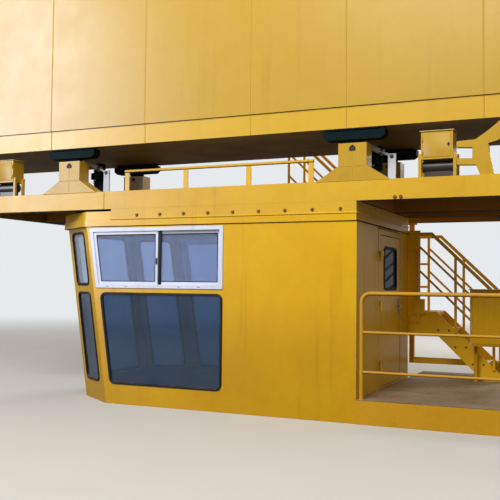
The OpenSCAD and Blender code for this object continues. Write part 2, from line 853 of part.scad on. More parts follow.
// Clear opening inside the aluminium frame and the line where the sashes pass each other
clear = inset(upper_side, alu_w);
meet_u = clear[0].x + (clear[1].x - clear[0].x) * sash_split;
front_sash = [[meet_u - sash_w / 2, clear[0].y], clear[1], clear[2], [meet_u - sash_w / 2, clear[3].y]];
rear_sash = [clear[0], [meet_u + sash_w / 2, clear[0].y], [meet_u + sash_w / 2, clear[3].y], clear[3]];
sash_depth = 4;

module window_sashes() {
  color([0.82, 0.83, 0.88]) both_sides() {
    difference() {
      sheet(front_sash, sash_depth, sash_depth + sash_t);
      sheet(inset(front_sash, sash_w), sash_depth - 1, sash_depth + sash_t + 1);
    }
    difference() {
      sheet(rear_sash, sash_depth + sash_t + small, sash_depth + 2 * sash_t);
      sheet(inset(rear_sash, sash_w), sash_depth + sash_t - 1, sash_depth + 2 * sash_t + 1);
    }
  }
}

module sliding_panes() {
  d = (sash_t - slide_glass_t) / 2;
  color([0.35, 0.42, 0.48, 0.5]) both_sides() {
    sheet(inset(front_sash, sash_w), sash_depth + d, sash_depth + d + slide_glass_t);
    sheet(inset(rear_sash, sash_w), sash_depth + sash_t + d, sash_depth + sash_t + d + slide_glass_t);
  }
}

// Cab door

leaf_y = door_y + leaf_gap;
leaf_w = door_w - leaf_gap - latch_gap;
leaf_z = door_z0 + leaf_gap;
leaf_h = door_z1 - door_z0 - 2 * leaf_gap;
hinge_y = door_y - 15;
hinge_zs = [leaf_z + 180, leaf_z + leaf_h / 2, leaf_z + leaf_h - 180 - 2 * knuckle_h];
door_pane = [[door_pane_margin, door_pane_z0 - leaf_z], [leaf_w - door_pane_margin, door_pane_z0 - leaf_z],
             [leaf_w - door_pane_margin, door_pane_z1 - leaf_z], [door_pane_margin, door_pane_z1 - leaf_z]];

// The leaf's plane: X along the leaf from the latch edge, Z up, -Y into the cab
module leaf_plane() { site() wall_plane([0, leaf_y + leaf_w, leaf_z], -90, 0) children(); }

module door_trim() {
  z0 = platform_h + 3;
  color(cab_yellow) site() difference() {
    translate([0, door_y - trim_w, z0]) cube([trim_t, door_w + 2 * trim_w, door_z1 + trim_w - z0]);
    translate([-1, door_y, door_z0]) cube([trim_t + 2, door_w, door_z1 - door_z0]);
  }
}

module door_hinges() {
  color(dark) site() for (z = hinge_zs) translate([0, hinge_y, z]) {
    translate([hinge_x, 0, 0]) cylinder(r = knuckle_r, h = knuckle_h - small, $fn = 48);
    translate([hinge_x, 0, 0]) cylinder(r = hinge_pin_r, h = 2 * knuckle_h - 6, $fn = 48);
    translate([trim_t, -40, 0]) cube([6, 40, knuckle_h - small]);
    translate([trim_t, -8, 0]) cube([hinge_x - trim_t, 8, knuckle_h - small]);
  }
}

module door_leaf() {
  rib = 60;
  strap_x = hinge_x - 12;
  color(cab_yellow) {
    leaf_plane() difference() {
      sheet([[0, 0], [leaf_w, 0], [leaf_w, leaf_h], [0, leaf_h]], 0, leaf_t);
      sheet(rounded(door_pane, pane_round), -1, leaf_t + 1);
      sheet([[rib, rib], [leaf_w - rib, rib], [leaf_w - rib, leaf_h / 2 - rib / 2],
             [rib, leaf_h / 2 - rib / 2]], leaf_skin, leaf_t + 1);
    }
    site() for (z = hinge_zs) translate([0, hinge_y, z + knuckle_h]) difference() {
      union() {
        translate([hinge_x, 0, 0]) cylinder(r = knuckle_r, h = knuckle_h, $fn = 48);
        translate([strap_x, 0, 0]) cube([6, 130, knuckle_h]);
        translate([0, leaf_y - hinge_y + 12, 0]) cube([strap_x + 6, 118 - leaf_y + hinge_y, knuckle_h]);
      }
      translate([hinge_x, 0, -1]) cylinder(r = hinge_pin_r + pin_clear, h = knuckle_h + 2, $fn = 48);
    }
  }
}

module door_gasket() {
  color(dark) leaf_plane() ring(door_pane, gasket_w, -gasket_proud, gasket_d, pane_round);
}

module door_glass() {
  color([0.35, 0.42, 0.48, 0.5]) leaf_plane()
    sheet(rounded(inset(door_pane, gasket_w), pane_round - gasket_w), 12, 12 + glass_t);
}

module door_handle() {
  x = 0;
  y = leaf_y + leaf_w - 75;
  color(dark) site() {
    translate([x, y - 22, handle_z - 85]) cube([6, 44, 170]);
    translate([x, y, handle_z]) rotate([0, 90, 0]) cylinder(r = 10, h = 48, $fn = 32);
    translate([x + 38, y - 130, handle_z - 9]) cube([14, 140, 18]);
    translate([x, y, handle_z - 55]) rotate([0, 90, 0]) cylinder(r = 9, h = 12, $fn = 32);
  }
}

// Rear platform

platform_w = frame_w;
joist_h = platform_h - plate_t;

module platform_rails() {
  color(yellow) site() for (y = [0, platform_w - fascia_w])
    translate([0, y, 0]) cube([platform_len, fascia_w, joist_h]);
}

module platform_joists() {
  color(yellow) site() for (i = [0 : 3])
    translate([i * (platform_len - fascia_w) / 3, fascia_w, 0])
      cube([fascia_w, platform_w - 2 * fascia_w, joist_h]);
}

module platform_plate() {
  gap = trim_t + 2;
  color(yellow) site() translate([gap, 0, joist_h]) cube([platform_len - gap, platform_w, plate_t]);
}

bar_zs = [platform_h + (rail_z - platform_h) * 0.26, platform_h + (rail_z - platform_h) * 0.633];
rail_y = fascia_w / 2;
rail_x0 = 50;
rail_x1 = platform_len - fascia_w / 2;
bend_r = 90;

module guard_rail_near() {
  color(yellow) site() translate([0, rail_y, 0]) {
    bar([rail_x0, 0, platform_h], [rail_x0, 0, rail_z - bend_r], rail_r);
    translate([rail_x0 + bend_r, 0, rail_z - bend_r]) rotate([90, 0, 0])
      rotate([0, 0, 90]) rotate_extrude(angle = 90, $fn = 48) translate([bend_r, 0]) circle(r = rail_r);
    bar([rail_x0 + bend_r, 0, rail_z], [rail_x1, 0, rail_z], rail_r);
    translate([rail_x1, 0, rail_z]) sphere(r = rail_r, $fn = 32);
    bar([rail_x1, 0, platform_h], [rail_x1, 0, rail_z], rail_r);
    for (z = bar_zs) bar([rail_x0, 0, z], [rail_x1, 0, z], bar_r);
  }
}

module guard_rail_end() {
  y0 = rail_y + rail_r;
  color(yellow) site() translate([rail_x1, 0, 0]) {
    bar([0, y0, rail_z], [0, end_rail_len - bend_r, rail_z], rail_r);
    translate([0, end_rail_len - bend_r, rail_z - bend_r]) rotate([90, 0, 90])
      rotate_extrude(angle = 90, $fn = 48) translate([bend_r, 0]) circle(r = rail_r);
    bar([0, end_rail_len, platform_h], [0, end_rail_len, rail_z - bend_r], rail_r);
    for (z = bar_zs) bar([0, y0, z], [0, end_rail_len, z], bar_r);
    bar([0, end_rail_len / 2, platform_h], [0, end_rail_len / 2, rail_z], rail_r);
  }
}

module rear_post() {
  cap_t = 27;
  over = 10;
  foot_z = platform_h + kerb_h - kerb_bar_h;
  color(yellow) site() translate([post_x, post_y, 0]) {
    translate([0, 0, foot_z]) cube([post_w, post_w, frame_z - foot_z]);
    translate([-post_w / 2, -over, frame_z - cap_t]) cube([2 * post_w, post_w + 2 * over, cap_t]);
  }
}

kerb_bar_h = 80;

module kerb_rail() {
  kerb_w = 50;
  x0 = post_x + post_w;
  x1 = stair_foot + 30;
  color(yellow) site() translate([0, post_y, platform_h]) {
    translate([x0, 0, kerb_h - kerb_bar_h]) cube([x1 - x0, kerb_w, kerb_bar_h]);
    translate([x1, 0, 0]) cube([kerb_w, kerb_w, kerb_h]);
  }
}

// Stair

near_stringer_y = cab_w + stair_gap;
stair_post_r = rail_r - 4;

// Height of the lower flight's centre line at x
function low_line(x) = platform_h + (stair_foot - x) * tan(stair_slope);

// Height of the upper flight's centre line at x
function high_line(x) = landing_line + (landing_x0 - x) * tan(stair_slope);

module stringer_plate(w) {
  x0 = stair_foot + 200;
  x1 = well_x0;
  line = [[x0, low_line(x0)], [landing_x1, landing_line], [landing_x0, landing_line],
          [x1 - 100, high_line(x1 - 100)]];
  intersection() {
    along_y(w) polygon(concat([for (p = line) p + [0, stringer_half]],
                              [for (i = [3 : -1 : 0]) line[i] - [0, stringer_half]]));
    translate([x1, -1, platform_h]) cube([x0 - x1, w + 2, frame_top - deck_t - platform_h]);
  }
}

module stair_stringers() {
  y0 = near_stringer_y;
  y1 = near_stringer_y + 2 * stringer_t + stair_w;
  color(yellow) site() {
    translate([0, y0, 0]) stringer_plate(stringer_t);
    translate([0, y1 - stringer_t, 0]) stringer_plate(stringer_t);
  }
}

// Folded plate from x0 to x1 with its top at z
module tread(x0, x1, z) {
  d = x1 - x0;
  translate([x0, near_stringer_y + stringer_t, z])
    along_y(stair_w) polygon([[0, 0], [d, 0], [d, -tread_fold], [d - tread_t, -tread_fold],
                              [d - tread_t, -tread_t], [tread_t, -tread_t], [tread_t, -tread_fold],
                              [0, -tread_fold]]);
}

module stair_treads() {
  top = tread_fold / 2;
  half = tread_d / 2;
  past_x = landing_x0 - (landing_top - landing_line) / tan(stair_slope);
  color([0.72, 0.55, 0.2]) site() {
    for (i = [1 : landing_risers - 1])
      tread(stair_foot - i * going - half, stair_foot - i * going + half, platform_h + i * rise + top);
    tread(past_x - going + half, stair_foot - landing_risers * going + half, landing_top + top);
    for (i = [1 : risers - landing_risers - 1])
      tread(past_x - i * going - half, past_x - i * going + half, landing_top + i * rise + top);
  }
}

rail_lift = 56;
newel_x = newel_w - stair_post_r;
rail_flat_z = landing_line + hand_rail_h + rail_lift;
low_bend_x = stair_foot - (rail_flat_z - hand_rail_h - platform_h) / tan(stair_slope);
high_bend_x = landing_x0 - rail_lift / tan(stair_slope);
bar_hs = [hand_rail_h * 0.711, hand_rail_h * 0.425];

module low_flight_rail() {
  foot_x = stair_foot - 20;
  past = 45;
  bar([foot_x + past, 0, low_line(foot_x + past) + hand_rail_h], [low_bend_x, 0, rail_flat_z], rail_r);
  translate([low_bend_x, 0, rail_flat_z]) sphere(r = rail_r + 1, $fn = 32);
  for (h = bar_hs) bar([foot_x, 0, low_line(foot_x) + h], [newel_x, 0, low_line(newel_x) + h], bar_r);
  for (x = [foot_x, (foot_x + newel_x) / 2])
    bar([x, 0, low_line(x) + stringer_half - 30], [x, 0, low_line(x) + hand_rail_h], stair_post_r);
}

module high_flight_rail() {
  top_x = well_x0 + 60;
  past = 45;
  bays = 2;
  highest_foot = frame_top - deck_t - 60;
  bar([high_bend_x, 0, rail_flat_z], [top_x - past, 0, high_line(top_x - past) + hand_rail_h], rail_r);
  translate([high_bend_x, 0, rail_flat_z]) sphere(r = rail_r + 1, $fn = 32);
  for (h = bar_hs) bar([high_bend_x, 0, high_line(high_bend_x) + h], [top_x, 0, high_line(top_x) + h], bar_r);
  for (i = [0 : bays]) {
    x = high_bend_x + i * (top_x - high_bend_x) / bays;
    bar([x, 0, min(high_line(x) + stringer_half - 30, highest_foot)], [x, 0, high_line(x) + hand_rail_h],
        stair_post_r);
  }
}

// Plate, flange, foot bracket and box that end the lower flight's near rail
module near_newel() {
  plate_t = 12;
  flange = 2 * stair_post_r;
  foot_z = landing_line;
  box_proud = 22;
  translate([small, stair_post_r - plate_t, foot_z]) cube([newel_w - small, plate_t, newel_box_z - foot_z]);
  translate([newel_w - flange, -stair_post_r, foot_z]) cube([flange, flange, newel_box_z - foot_z]);
  translate([newel_w / 2, -stair_post_r - 2, landing_top - 10]) cube([newel_w * 0.9, flange + 2, 190]);
  translate([small, -box_proud, newel_box_z]) cube([newel_w - small, 2 * box_proud, newel_box_h]);
}

module stair_rails() {
  gap = stair_post_r + small;
  color(yellow) site() {
    translate([0, near_stringer_y - gap, 0]) {
      low_flight_rail();
      high_flight_rail();
      bar([low_bend_x, 0, rail_flat_z], [newel_w - 20, 0, rail_flat_z], rail_r - 0.5);
      near_newel();
    }
    translate([0, near_stringer_y + 2 * stringer_t + stair_w + gap, 0]) {
      low_flight_rail();
      high_flight_rail();
      bar([low_bend_x, 0, rail_flat_z], [high_bend_x, 0, rail_flat_z], rail_r - 0.5);
      bar([newel_x, 0, landing_line + stringer_half - 30], [newel_x, 0, rail_flat_z], stair_post_r);
      for (h = bar_hs) bar([newel_x, 0, landing_line + h], [high_bend_x, 0, landing_line + h], bar_r);
    }
  }
}

module foot_cabinet() {
  leg = 40;
  inset_x = 20;
  y = near_stringer_y - foot_cabinet_d - 66;
  color(yellow) site() translate([foot_cabinet_x, y, 0]) {
    translate([0, 0, foot_cabinet_z]) cube([foot_cabinet_w, foot_cabinet_d, foot_cabinet_h]);
    for (x = [inset_x, foot_cabinet_w - inset_x - leg])
      translate([x, foot_cabinet_d - leg - 10, platform_h]) cube([leg, leg, foot_cabinet_z - platform_h]);
  }
}

girder_webs();
girder_top_plate();
girder_bottom_plate();
girder_bands();
girder_diaphragms();
hanger_brackets();
hanger_pins();
gear_motors();
push_cylinders();
near_beam();
mid_beam();
trimmer_beam();
far_beam();
cross_beams();
beam_caps();
deck_plate();
side_deck();
deck_rail();
pedestals();
end_cabinets();
end_rollers();
end_arms();
cab_base_rails();
cab_base_joists();
cab_floor();
near_wall();
far_wall();
rear_wall_sides();
rear_wall_head();
front_panel();
corner_panels();
cab_roof();
roof_collar();
window_frames();
window_sashes();
sliding_panes();
fixed_glass();
window_gaskets();
door_trim();
door_hinges();
door_leaf();
door_glass();
door_gasket();
door_handle();
platform_rails();
platform_joists();
platform_plate();
guard_rail_near();
guard_rail_end();
rear_post();
kerb_rail();
stair_stringers();
stair_treads();
stair_rails();
foot_cabinet();
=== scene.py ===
"""Looks of a gantry crane's operator cab section: the finish of every plate, pane, rail and tread, and
the small parts that they carry, such as bolts, weld beads, latches and chequer tears.

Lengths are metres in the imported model's frame. Places are worked out from the boxes of the CAD nodes.
New pieces are surfaces worked out with numpy: rings of points joined into closed skins.
"""

import math
from functools import reduce

import bmesh
import bpy
import numpy as np
from mathutils import Matrix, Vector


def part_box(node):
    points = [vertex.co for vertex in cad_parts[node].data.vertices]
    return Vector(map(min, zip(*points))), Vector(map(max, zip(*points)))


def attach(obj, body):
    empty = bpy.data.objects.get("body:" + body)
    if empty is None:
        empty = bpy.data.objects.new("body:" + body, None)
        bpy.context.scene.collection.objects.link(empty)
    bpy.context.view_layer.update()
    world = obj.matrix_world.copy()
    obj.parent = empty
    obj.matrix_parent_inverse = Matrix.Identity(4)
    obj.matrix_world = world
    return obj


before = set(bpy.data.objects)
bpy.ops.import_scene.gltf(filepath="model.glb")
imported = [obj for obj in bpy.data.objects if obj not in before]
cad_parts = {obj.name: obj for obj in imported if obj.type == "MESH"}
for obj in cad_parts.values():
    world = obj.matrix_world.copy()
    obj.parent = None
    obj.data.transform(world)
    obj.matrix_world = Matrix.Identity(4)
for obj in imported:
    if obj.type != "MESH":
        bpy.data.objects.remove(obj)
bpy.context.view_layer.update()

UP = np.array([0.0, 0.0, 1.0])
NEAR = np.array([0.0, -1.0, 0.0])
FAR = np.array([0.0, 1.0, 0.0])
REAR = np.array([1.0, 0.0, 0.0])
FRONT = np.array([-1.0, 0.0, 0.0])


def low(node):
    """The lowest corner of a CAD node's box."""
    return np.array(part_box(node)[0])


def high(node):
    """The highest corner of a CAD node's box."""
    return np.array(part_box(node)[1])


# Main planes of the section
CAB_REAR = high("rear_wall_sides")[0]
CAB_NEAR = low("near_wall")[1]
CAB_WALL_TOP = high("near_wall")[2]
FACE_NEAR = low("near_beam")[1]
FACE_FAR = high("roof_collar")[1]
COLLAR_FOOT = low("roof_collar")[2]
COLLAR_FRONT = low("roof_collar")[0]
BEAM_TOP = high("near_beam")[2]
BEAM_FOOT = low("near_beam")[2]
PLATFORM_TOP = high("platform_plate")[2]
DECK_TOP = high("deck_plate")[2]

# Site measures run from the cab's rear wall, from the carrying frame's near face and from the ground.
# A side is a face's y and its way out.
FRAME_SIDES = [(0.0, NEAR), (high("far_beam")[1] - FACE_NEAR, FAR)]
GIRDER_SIDES = [(0.0, NEAR), (1.6, FAR)]
BAND_SIDES = [(0.015, NEAR), (1.585, FAR)]
COLLAR_SIDES = [(0.0, NEAR), (2.25, FAR)]
CAB_SIDES = [(0.015, NEAR), (2.235, FAR)]
STAIR_SIDES = [(2.296, NEAR), (2.86, FAR)]
PEDESTAL_MIDDLES = np.array([-3.577, -0.047])

# The corner and front walls lean ahead by so much a metre. A row of windows is its sill's and its head's
# height, and the upper row's paler colour, a painted reflection, begins between the rows.
WALL_LEAN = 0.155
LOWER_ROW = (0.225, 1.280)
UPPER_SILL = (1.30, 1.34)
UPPER_ROW = (1.356, 2.002)


def at(xs, ys, zs):
    """Points from site measures, any of which may be a run of values."""
    xs, ys, zs = np.broadcast_arrays(np.asarray(xs, float), ys, zs)
    return np.stack([xs + CAB_REAR, ys + FACE_NEAR, zs], axis=-1).reshape(-1, 3)


# Surfaces


def unit(vectors):
    """Vectors divided by their own length."""
    vectors = np.asarray(vectors, float)
    return vectors / np.linalg.norm(vectors, axis=-1, keepdims=True)


def circle(steps):
    """So many even angles round a circle."""
    return np.linspace(0, 2 * math.pi, steps, endpoint=False)


def skin(rings, closed=False):
    """Joins rings of points into a skin of quads. An open run of rings is closed by drawing each end in
    to its middle, and a closed run joins its last ring to its first."""
    rings = np.asarray(rings, float)
    if not closed:
        ends = np.broadcast_to(rings.mean(axis=1, keepdims=True), rings.shape)
        rings = np.concatenate([ends[:1], rings, ends[-1:]])
    rows, columns = rings.shape[:2]
    spans = rows if closed else rows - 1
    row, column = np.meshgrid(np.arange(spans), np.arange(columns), indexing="ij")
    next_row, next_column = (row + 1) % rows, (column + 1) % columns
    corners = [(row, column), (row, next_column), (next_row, next_column), (next_row, column)]
    faces = np.stack([r * columns + c for r, c in corners], axis=-1)
    return rings.reshape(-1, 3), faces.reshape(-1, 4)


def turned(radii, heights, sides=24, hexed=0.0):
    """A turned form about z: at each height a ring of that radius. Where hexed is 1 the ring is a hexagon:
    its radius is divided by the cosine of the angle from the nearest flat's middle."""
    angle = circle(sides)
    flat = 1 / np.cos(angle % (math.pi / 3) - math.pi / 6)
    hexed = np.broadcast_to(hexed, len(radii))[:, None]
    radius = np.asarray(radii, float)[:, None] * (1 + hexed * (flat - 1))
    height = np.broadcast_to(np.asarray(heights, float)[:, None], radius.shape)
    return skin(np.stack([radius * np.cos(angle), radius * np.sin(angle), height], axis=-1))


def facing(direction, up=UP):
    """The turn, as a matrix of three columns, that points a form's own z along a direction."""
    ahead = unit(direction)
    if abs(ahead @ up) > 0.99:
        up = REAR
    side = unit(np.cross(up, ahead))
    return np.stack([side, np.cross(ahead, side), ahead], axis=1)


def placed(form, spots, direction=UP, up=UP):
    """Copies of a form at spots, each turned to face one direction."""
    points, faces = form
    spots = np.atleast_2d(spots)
    copies = (points @ facing(direction, up).T)[None] + spots[:, None]
    shift = np.arange(len(spots))[:, None, None] * len(points)
    return copies.reshape(-1, 3), (faces[None] + shift).reshape(-1, faces.shape[1])


def carried(profile, path, up=UP, closed=False):
    """A profile of (out, up) points carried along a path, mitred at its corners: out is travel crossed with
    up, stretched at a corner by one over the cosine of half the turn."""
    path = np.asarray(path, float)
    profile = np.asarray(profile, float)
    ends = np.concatenate([path, path[:1]]) if closed else path
    steps = unit(np.diff(ends, axis=0))
    before = np.concatenate([steps[-1:] if closed else steps[:1], steps])[: len(path)]
    after = steps if closed else np.concatenate([steps, steps[-1:]])
    side_before, side_after = np.cross(before, up), np.cross(after, up)
    side = unit(side_before + side_after)
    side = side / (side * unit(side_before)).sum(axis=1, keepdims=True)
    outwards = profile[None, :, :1] * side[:, None]
    upwards = profile[None, :, 1:] * up
    return skin(path[:, None] + outwards + upwards, closed)


def rounded_bar(size, radius, corner_steps=3):
    """The outline of a bar of size (a, b) about the origin, its corners quarter circles of one radius."""
    quarter = np.linspace(0, math.pi / 2, corner_steps + 1)
    angle = (np.arange(4)[:, None] * math.pi / 2 + quarter).ravel()
    signs = np.array([[1, 1], [-1, 1], [-1, -1], [1, -1]]).repeat(corner_steps + 1, axis=0)
    middle = signs * (np.asarray(size, float) / 2 - radius)
    return middle + radius * np.stack([np.cos(angle), np.sin(angle)], axis=-1)


def block(size, radius):
    """A block of size (x, y, z) on z = 0: a rounded outline whose top edge is rolled over by the same
    radius, along a quarter circle."""
    roll = np.linspace(0, math.pi / 2, 4)
    shrink = np.concatenate([[0], radius * 0.98 * (1 - np.cos(roll))])
    height = np.concatenate([[0], size[2] - radius + radius * np.sin(roll)])
    flat = np.array(size[:2], float)
    outlines = [rounded_bar(flat - 2 * cut, radius - cut) for cut in shrink]
    levels = np.broadcast_to(height[:, None, None], (len(shrink), len(outlines[0]), 1))
    return skin(np.concatenate([np.array(outlines), levels], axis=-1))


def ring_bead(radius, thickness, sides=24, around=8):
    """A torus about z: a small circle of the bead's thickness carried round the joint's circle."""
    turn = circle(sides)[:, None]
    small = circle(around)[None]
    ripple = 1 + 0.16 * np.cos(turn * sides / 2)
    reach = radius + thickness * ripple * np.cos(small)
    lift = thickness * np.sin(small) + 0 * turn
    return skin(np.stack([reach * np.cos(turn), reach * np.sin(turn), lift], axis=-1), closed=True)


def weld_bead(start, end, out, width=0.011, height=0.0035, ripple=0.008):
    """A weld bead along a line: a half-oval whose height follows a rectified sine, one swell a ripple."""
    length = np.linalg.norm(end - start)
    steps = max(8, min(int(length / ripple), 700))
    run = np.linspace(0, 1, steps)
    swells = 0.3 * np.abs(np.sin(run * length / ripple * 0.37 + 0.6))
    swell = 0.82 + swells + 0.07 * np.sin(run * length * 9.0)
    across = unit(np.cross(end - start, out))
    angle = circle(8)
    lift = np.where(np.sin(angle) > 0, height, height * 0.5) * np.sin(angle)
    middle = start + run[:, None] * (end - start)
    section = (np.cos(angle) * width / 2)[:, None] * across + lift[:, None] * unit(out)
    return skin(middle[:, None] + swell[:, None, None] * section)


def hex_bolt(flats, head, washer):
    """A hexagon head on its washer: the washer's disc, then a hexagon whose top edge is chamfered."""
    radii = [washer, washer, flats / 2, flats / 2, flats * 0.46]
    heights = [0, head * 0.22, head * 0.22, head * 1.08, head * 1.2]
    return turned(radii, heights, 12, [0, 0, 1, 1, 0.15])


MERGE = 1e-6


def new_object(name, data):
    """A new object in the scene."""
    made = bpy.data.objects.new(name, data)
    bpy.context.scene.collection.objects.link(made)
    return made


def piece(name, forms, slot, finish=None, body="structure", sharp=38.0):
    """One object from several forms: doubles merged, flat ends joined into one face each, faces outwards,
    smooth below the sharp angle. Its finish is its slot's, or the one that is named."""
    starts = np.cumsum([0] + [len(points) for points, _ in forms[:-1]])
    points = np.concatenate([points for points, _ in forms])
    faces = np.concatenate([faces + start for (_, faces), start in zip(forms, starts)])
    mesh = bpy.data.meshes.new(name)
    mesh.from_pydata(points.tolist(), [], faces.tolist())
    work = bmesh.new()
    work.from_mesh(mesh)
    bmesh.ops.remove_doubles(work, verts=work.verts, dist=MERGE)
    bmesh.ops.dissolve_limit(work, angle_limit=0.001, verts=work.verts, edges=work.edges)
    bmesh.ops.recalc_face_normals(work, faces=work.faces)
    work.to_mesh(mesh)
    work.free()
    mesh.shade_smooth()
    mesh.set_sharp_from_angle(angle=math.radians(sharp))
    mesh.materials.append(FINISHES[finish or slot])
    made = new_object(name, mesh)
    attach(made, body)


# Shader nodes


def filled(tree, made, inputs):
    """Fills a node's inputs: each socket's name or number has a value or another node's output."""
    for socket, value in inputs.items():
        if isinstance(value, bpy.types.NodeSocket):
            tree.links.new(value, made.inputs[socket])
        else:
            made.inputs[socket].default_value = value
    return made


def node(tree, kind, inputs=None, **settings):
    """Adds a shader node and gives its outputs. Settings are its own properties, inputs as for filled."""
    made = tree.nodes.new("ShaderNode" + kind)
    for name, value in settings.items():
        setattr(made, name, value)
    return filled(tree, made, inputs or {}).outputs


def maths(tree, operation, *values):
    """One arithmetic step on values or sockets."""
    return node(tree, "Math", dict(enumerate(values)), operation=operation)[0]


def vectors(tree, operation, *values):
    """One vector operation on values or sockets. Its first output is a vector, and Value a number."""
    return node(tree, "VectorMath", dict(enumerate(values)), operation=operation)


def product(tree, *factors):
    """Values or sockets multiplied together."""
    return reduce(lambda so_far, factor: maths(tree, "MULTIPLY", so_far, factor), factors)


def total(tree, *terms):
    """Values or sockets added up."""
    return reduce(lambda so_far, term: maths(tree, "ADD", so_far, term), terms)


def ramp(tree, value, start, end, low_value=0.0, high_value=1.0):
    """A smooth step: low_value below start, high_value above end."""
    inputs = {"Value": value, "From Min": start, "From Max": end, "To Min": low_value, "To Max": high_value}
    return node(tree, "MapRange", inputs, interpolation_type="SMOOTHSTEP")["Result"]


def relief(tree, height, distance, strength, under=None):
    """A normal raised by a height, over the surface's own normal or another one under it."""
    inputs = {"Height": height, "Distance": distance, "Strength": strength} | (under or {})
    return node(tree, "Bump", inputs)["Normal"]


def mixed(tree, share, first, second):
    """Two colours mixed by a share."""
    return node(tree, "Mix", {0: share, 6: first, 7: second}, data_type="RGBA")[2]


def noise(tree, scale, detail=3.0, rough=0.55, place=None):
    """Cloud noise at so many clouds a metre, in the object's own coordinates or those of a place."""
    inputs = {"Vector": place or object_place(tree), "Scale": scale, "Detail": detail, "Roughness": rough}
    return node(tree, "TexNoise", inputs)["Fac"]


def stretched_place(tree, scale):
    """The object's own coordinates, stretched by a scale along each axis."""
    return node(tree, "Mapping", {"Vector": object_place(tree), "Scale": scale})["Vector"]


def split(tree, vector):
    """The x, y and z of a vector."""
    return node(tree, "SeparateXYZ", {"Vector": vector})


def object_place(tree):
    """The point of the surface, in the object's own coordinates."""
    return node(tree, "TexCoord")["Object"]


def surface_normal(tree):
    """The surface's own normal."""
    return node(tree, "NewGeometry")["Normal"]


# Group sockets that aren't plain numbers
KINDS = {"Colour": "Color", "Deep": "Color", "Centre": "Vector"}


def add_socket(tree, label, way):
    """A node group's new input or output."""
    kind = "NodeSocket" + KINDS.get(label, "Float")
    return tree.interface.new_socket(label, in_out=way, socket_type=kind)


def effect(*outputs, **inputs):
    """Makes a function into an effect's node group. The function is given the group's tree and its named
    inputs, and gives back what its named outputs carry."""
    def group(maker):
        tree = bpy.data.node_groups.new(maker.__name__, "ShaderNodeTree")
        for label, value in inputs.items():
            add_socket(tree, label, "INPUT").default_value = value
        for label in outputs:
            add_socket(tree, label, "OUTPUT")
        given = tree.nodes.new("NodeGroupInput").outputs
        last = tree.nodes.new("NodeGroupOutput")
        filled(tree, last, dict(enumerate(maker(tree, given))))
        return tree
    return group


def applied(tree, group, **values):
    """Places an effect's group in a material, with its own values, and gives its outputs."""
    made = tree.nodes.new("ShaderNodeGroup")
    made.node_tree = group
    return filled(tree, made, values).outputs


@effect("Colour", Colour=(0.8, 0.5, 0.05, 1), Deep=(0.6, 0.35, 0.03, 1),
        Clouds=0.5, Mottle=9.0, Amount=0.6)
def cloudy_coat(tree, given):
    """Paint whose tone drifts: broad clouds of a deeper tone and fine mottling on top."""
    broad = ramp(tree, noise(tree, given["Clouds"], 4.0, 0.6), 0.36, 0.68)
    fine = ramp(tree, noise(tree, given["Mottle"], 5.0, 0.65), 0.42, 0.75)
    both = total(tree, product(tree, broad, 0.7), product(tree, fine, 0.3))
    share = product(tree, both, given["Amount"])
    return [mixed(tree, share, given["Colour"], given["Deep"])]


@effect("Mask", Density=9.0, Length=0.45, Amount=0.5)
def rain_streaks(tree, given):
    """Marks that rain draws down standing faces: noise stretched along z, broken into runs."""
    stretch = node(tree, "CombineXYZ", {0: given["Density"], 1: given["Density"], 2: given["Length"]})[0]
    stretched = vectors(tree, "MULTIPLY", object_place(tree), stretch)[0]
    lines = ramp(tree, noise(tree, 1.0, 4.0, 0.62, stretched), 0.53, 0.78)
    patches = ramp(tree, noise(tree, 0.9, 2.0), 0.35, 0.7)
    standing = ramp(tree, maths(tree, "ABSOLUTE", split(tree, surface_normal(tree))[2]), 0.75, 0.35)
    run = product(tree, lines, patches, standing)
    return [product(tree, run, given["Amount"])]


@effect("Mask", Amount=0.6, Scale=3.0)
def settled_dust(tree, given):
    """Dust on faces that look up, thicker in patches."""
    lying = ramp(tree, split(tree, surface_normal(tree))[2], 0.45, 0.95)
    patches = ramp(tree, noise(tree, given["Scale"], 5.0, 0.6), 0.25, 0.7)
    return [product(tree, lying, patches, given["Amount"])]


@effect("Mask", Amount=0.8, Scale=1.6)
def under_shade_grime(tree, given):
    """Faces that look down darkened towards soot: oil and soot where rain never washes, and painted shade
    under things.
    """
    under = ramp(tree, split(tree, surface_normal(tree))[2], -0.35, -0.9)
    patches = ramp(tree, noise(tree, given["Scale"], 4.0, 0.6), 0.2, 0.6, 0.88, 1.0)
    return [product(tree, under, patches, given["Amount"])]


@effect("Mask", Width=0.006, Amount=0.6, Grain=30.0)
def worn_edges(tree, given):
    """Edges where paint has rubbed thin: where a rounded normal leaves the flat one, broken by noise."""
    rounded = node(tree, "Bevel", {"Radius": given["Width"]}, samples=4)["Normal"]
    agreed = vectors(tree, "DOT_PRODUCT", rounded, surface_normal(tree))["Value"]
    edge = ramp(tree, agreed, 0.985, 0.86)
    broken = ramp(tree, noise(tree, given["Grain"], 4.0, 0.7), 0.42, 0.62)
    return [product(tree, edge, broken, given["Amount"])]


@effect("Mask", "Height", Amount=0.5, Scale=14.0)
def rust_spots(tree, given):
    """Rust where the coat has failed: a few blooms, each with a rough raised crust."""
    where = ramp(tree, noise(tree, 1.3), 0.52, 0.7)
    blooms = ramp(tree, noise(tree, given["Scale"], 6.0, 0.7), 0.6, 0.7)
    mask = product(tree, where, blooms, given["Amount"])
    crust = product(tree, noise(tree, 160.0, 3.0, 0.8), mask)
    return [mask, crust]


@effect("Mask", Centre=(0.0, 0.0, 1.0))
def facing_centre(tree, given):
    """Faces that look towards a given centre, such as the middle of the cab."""
    towards = vectors(tree, "SUBTRACT", given["Centre"], object_place(tree))[0]
    agreed = vectors(tree, "DOT_PRODUCT", towards, surface_normal(tree))["Value"]
    return [maths(tree, "GREATER_THAN", agreed, 0.35)]


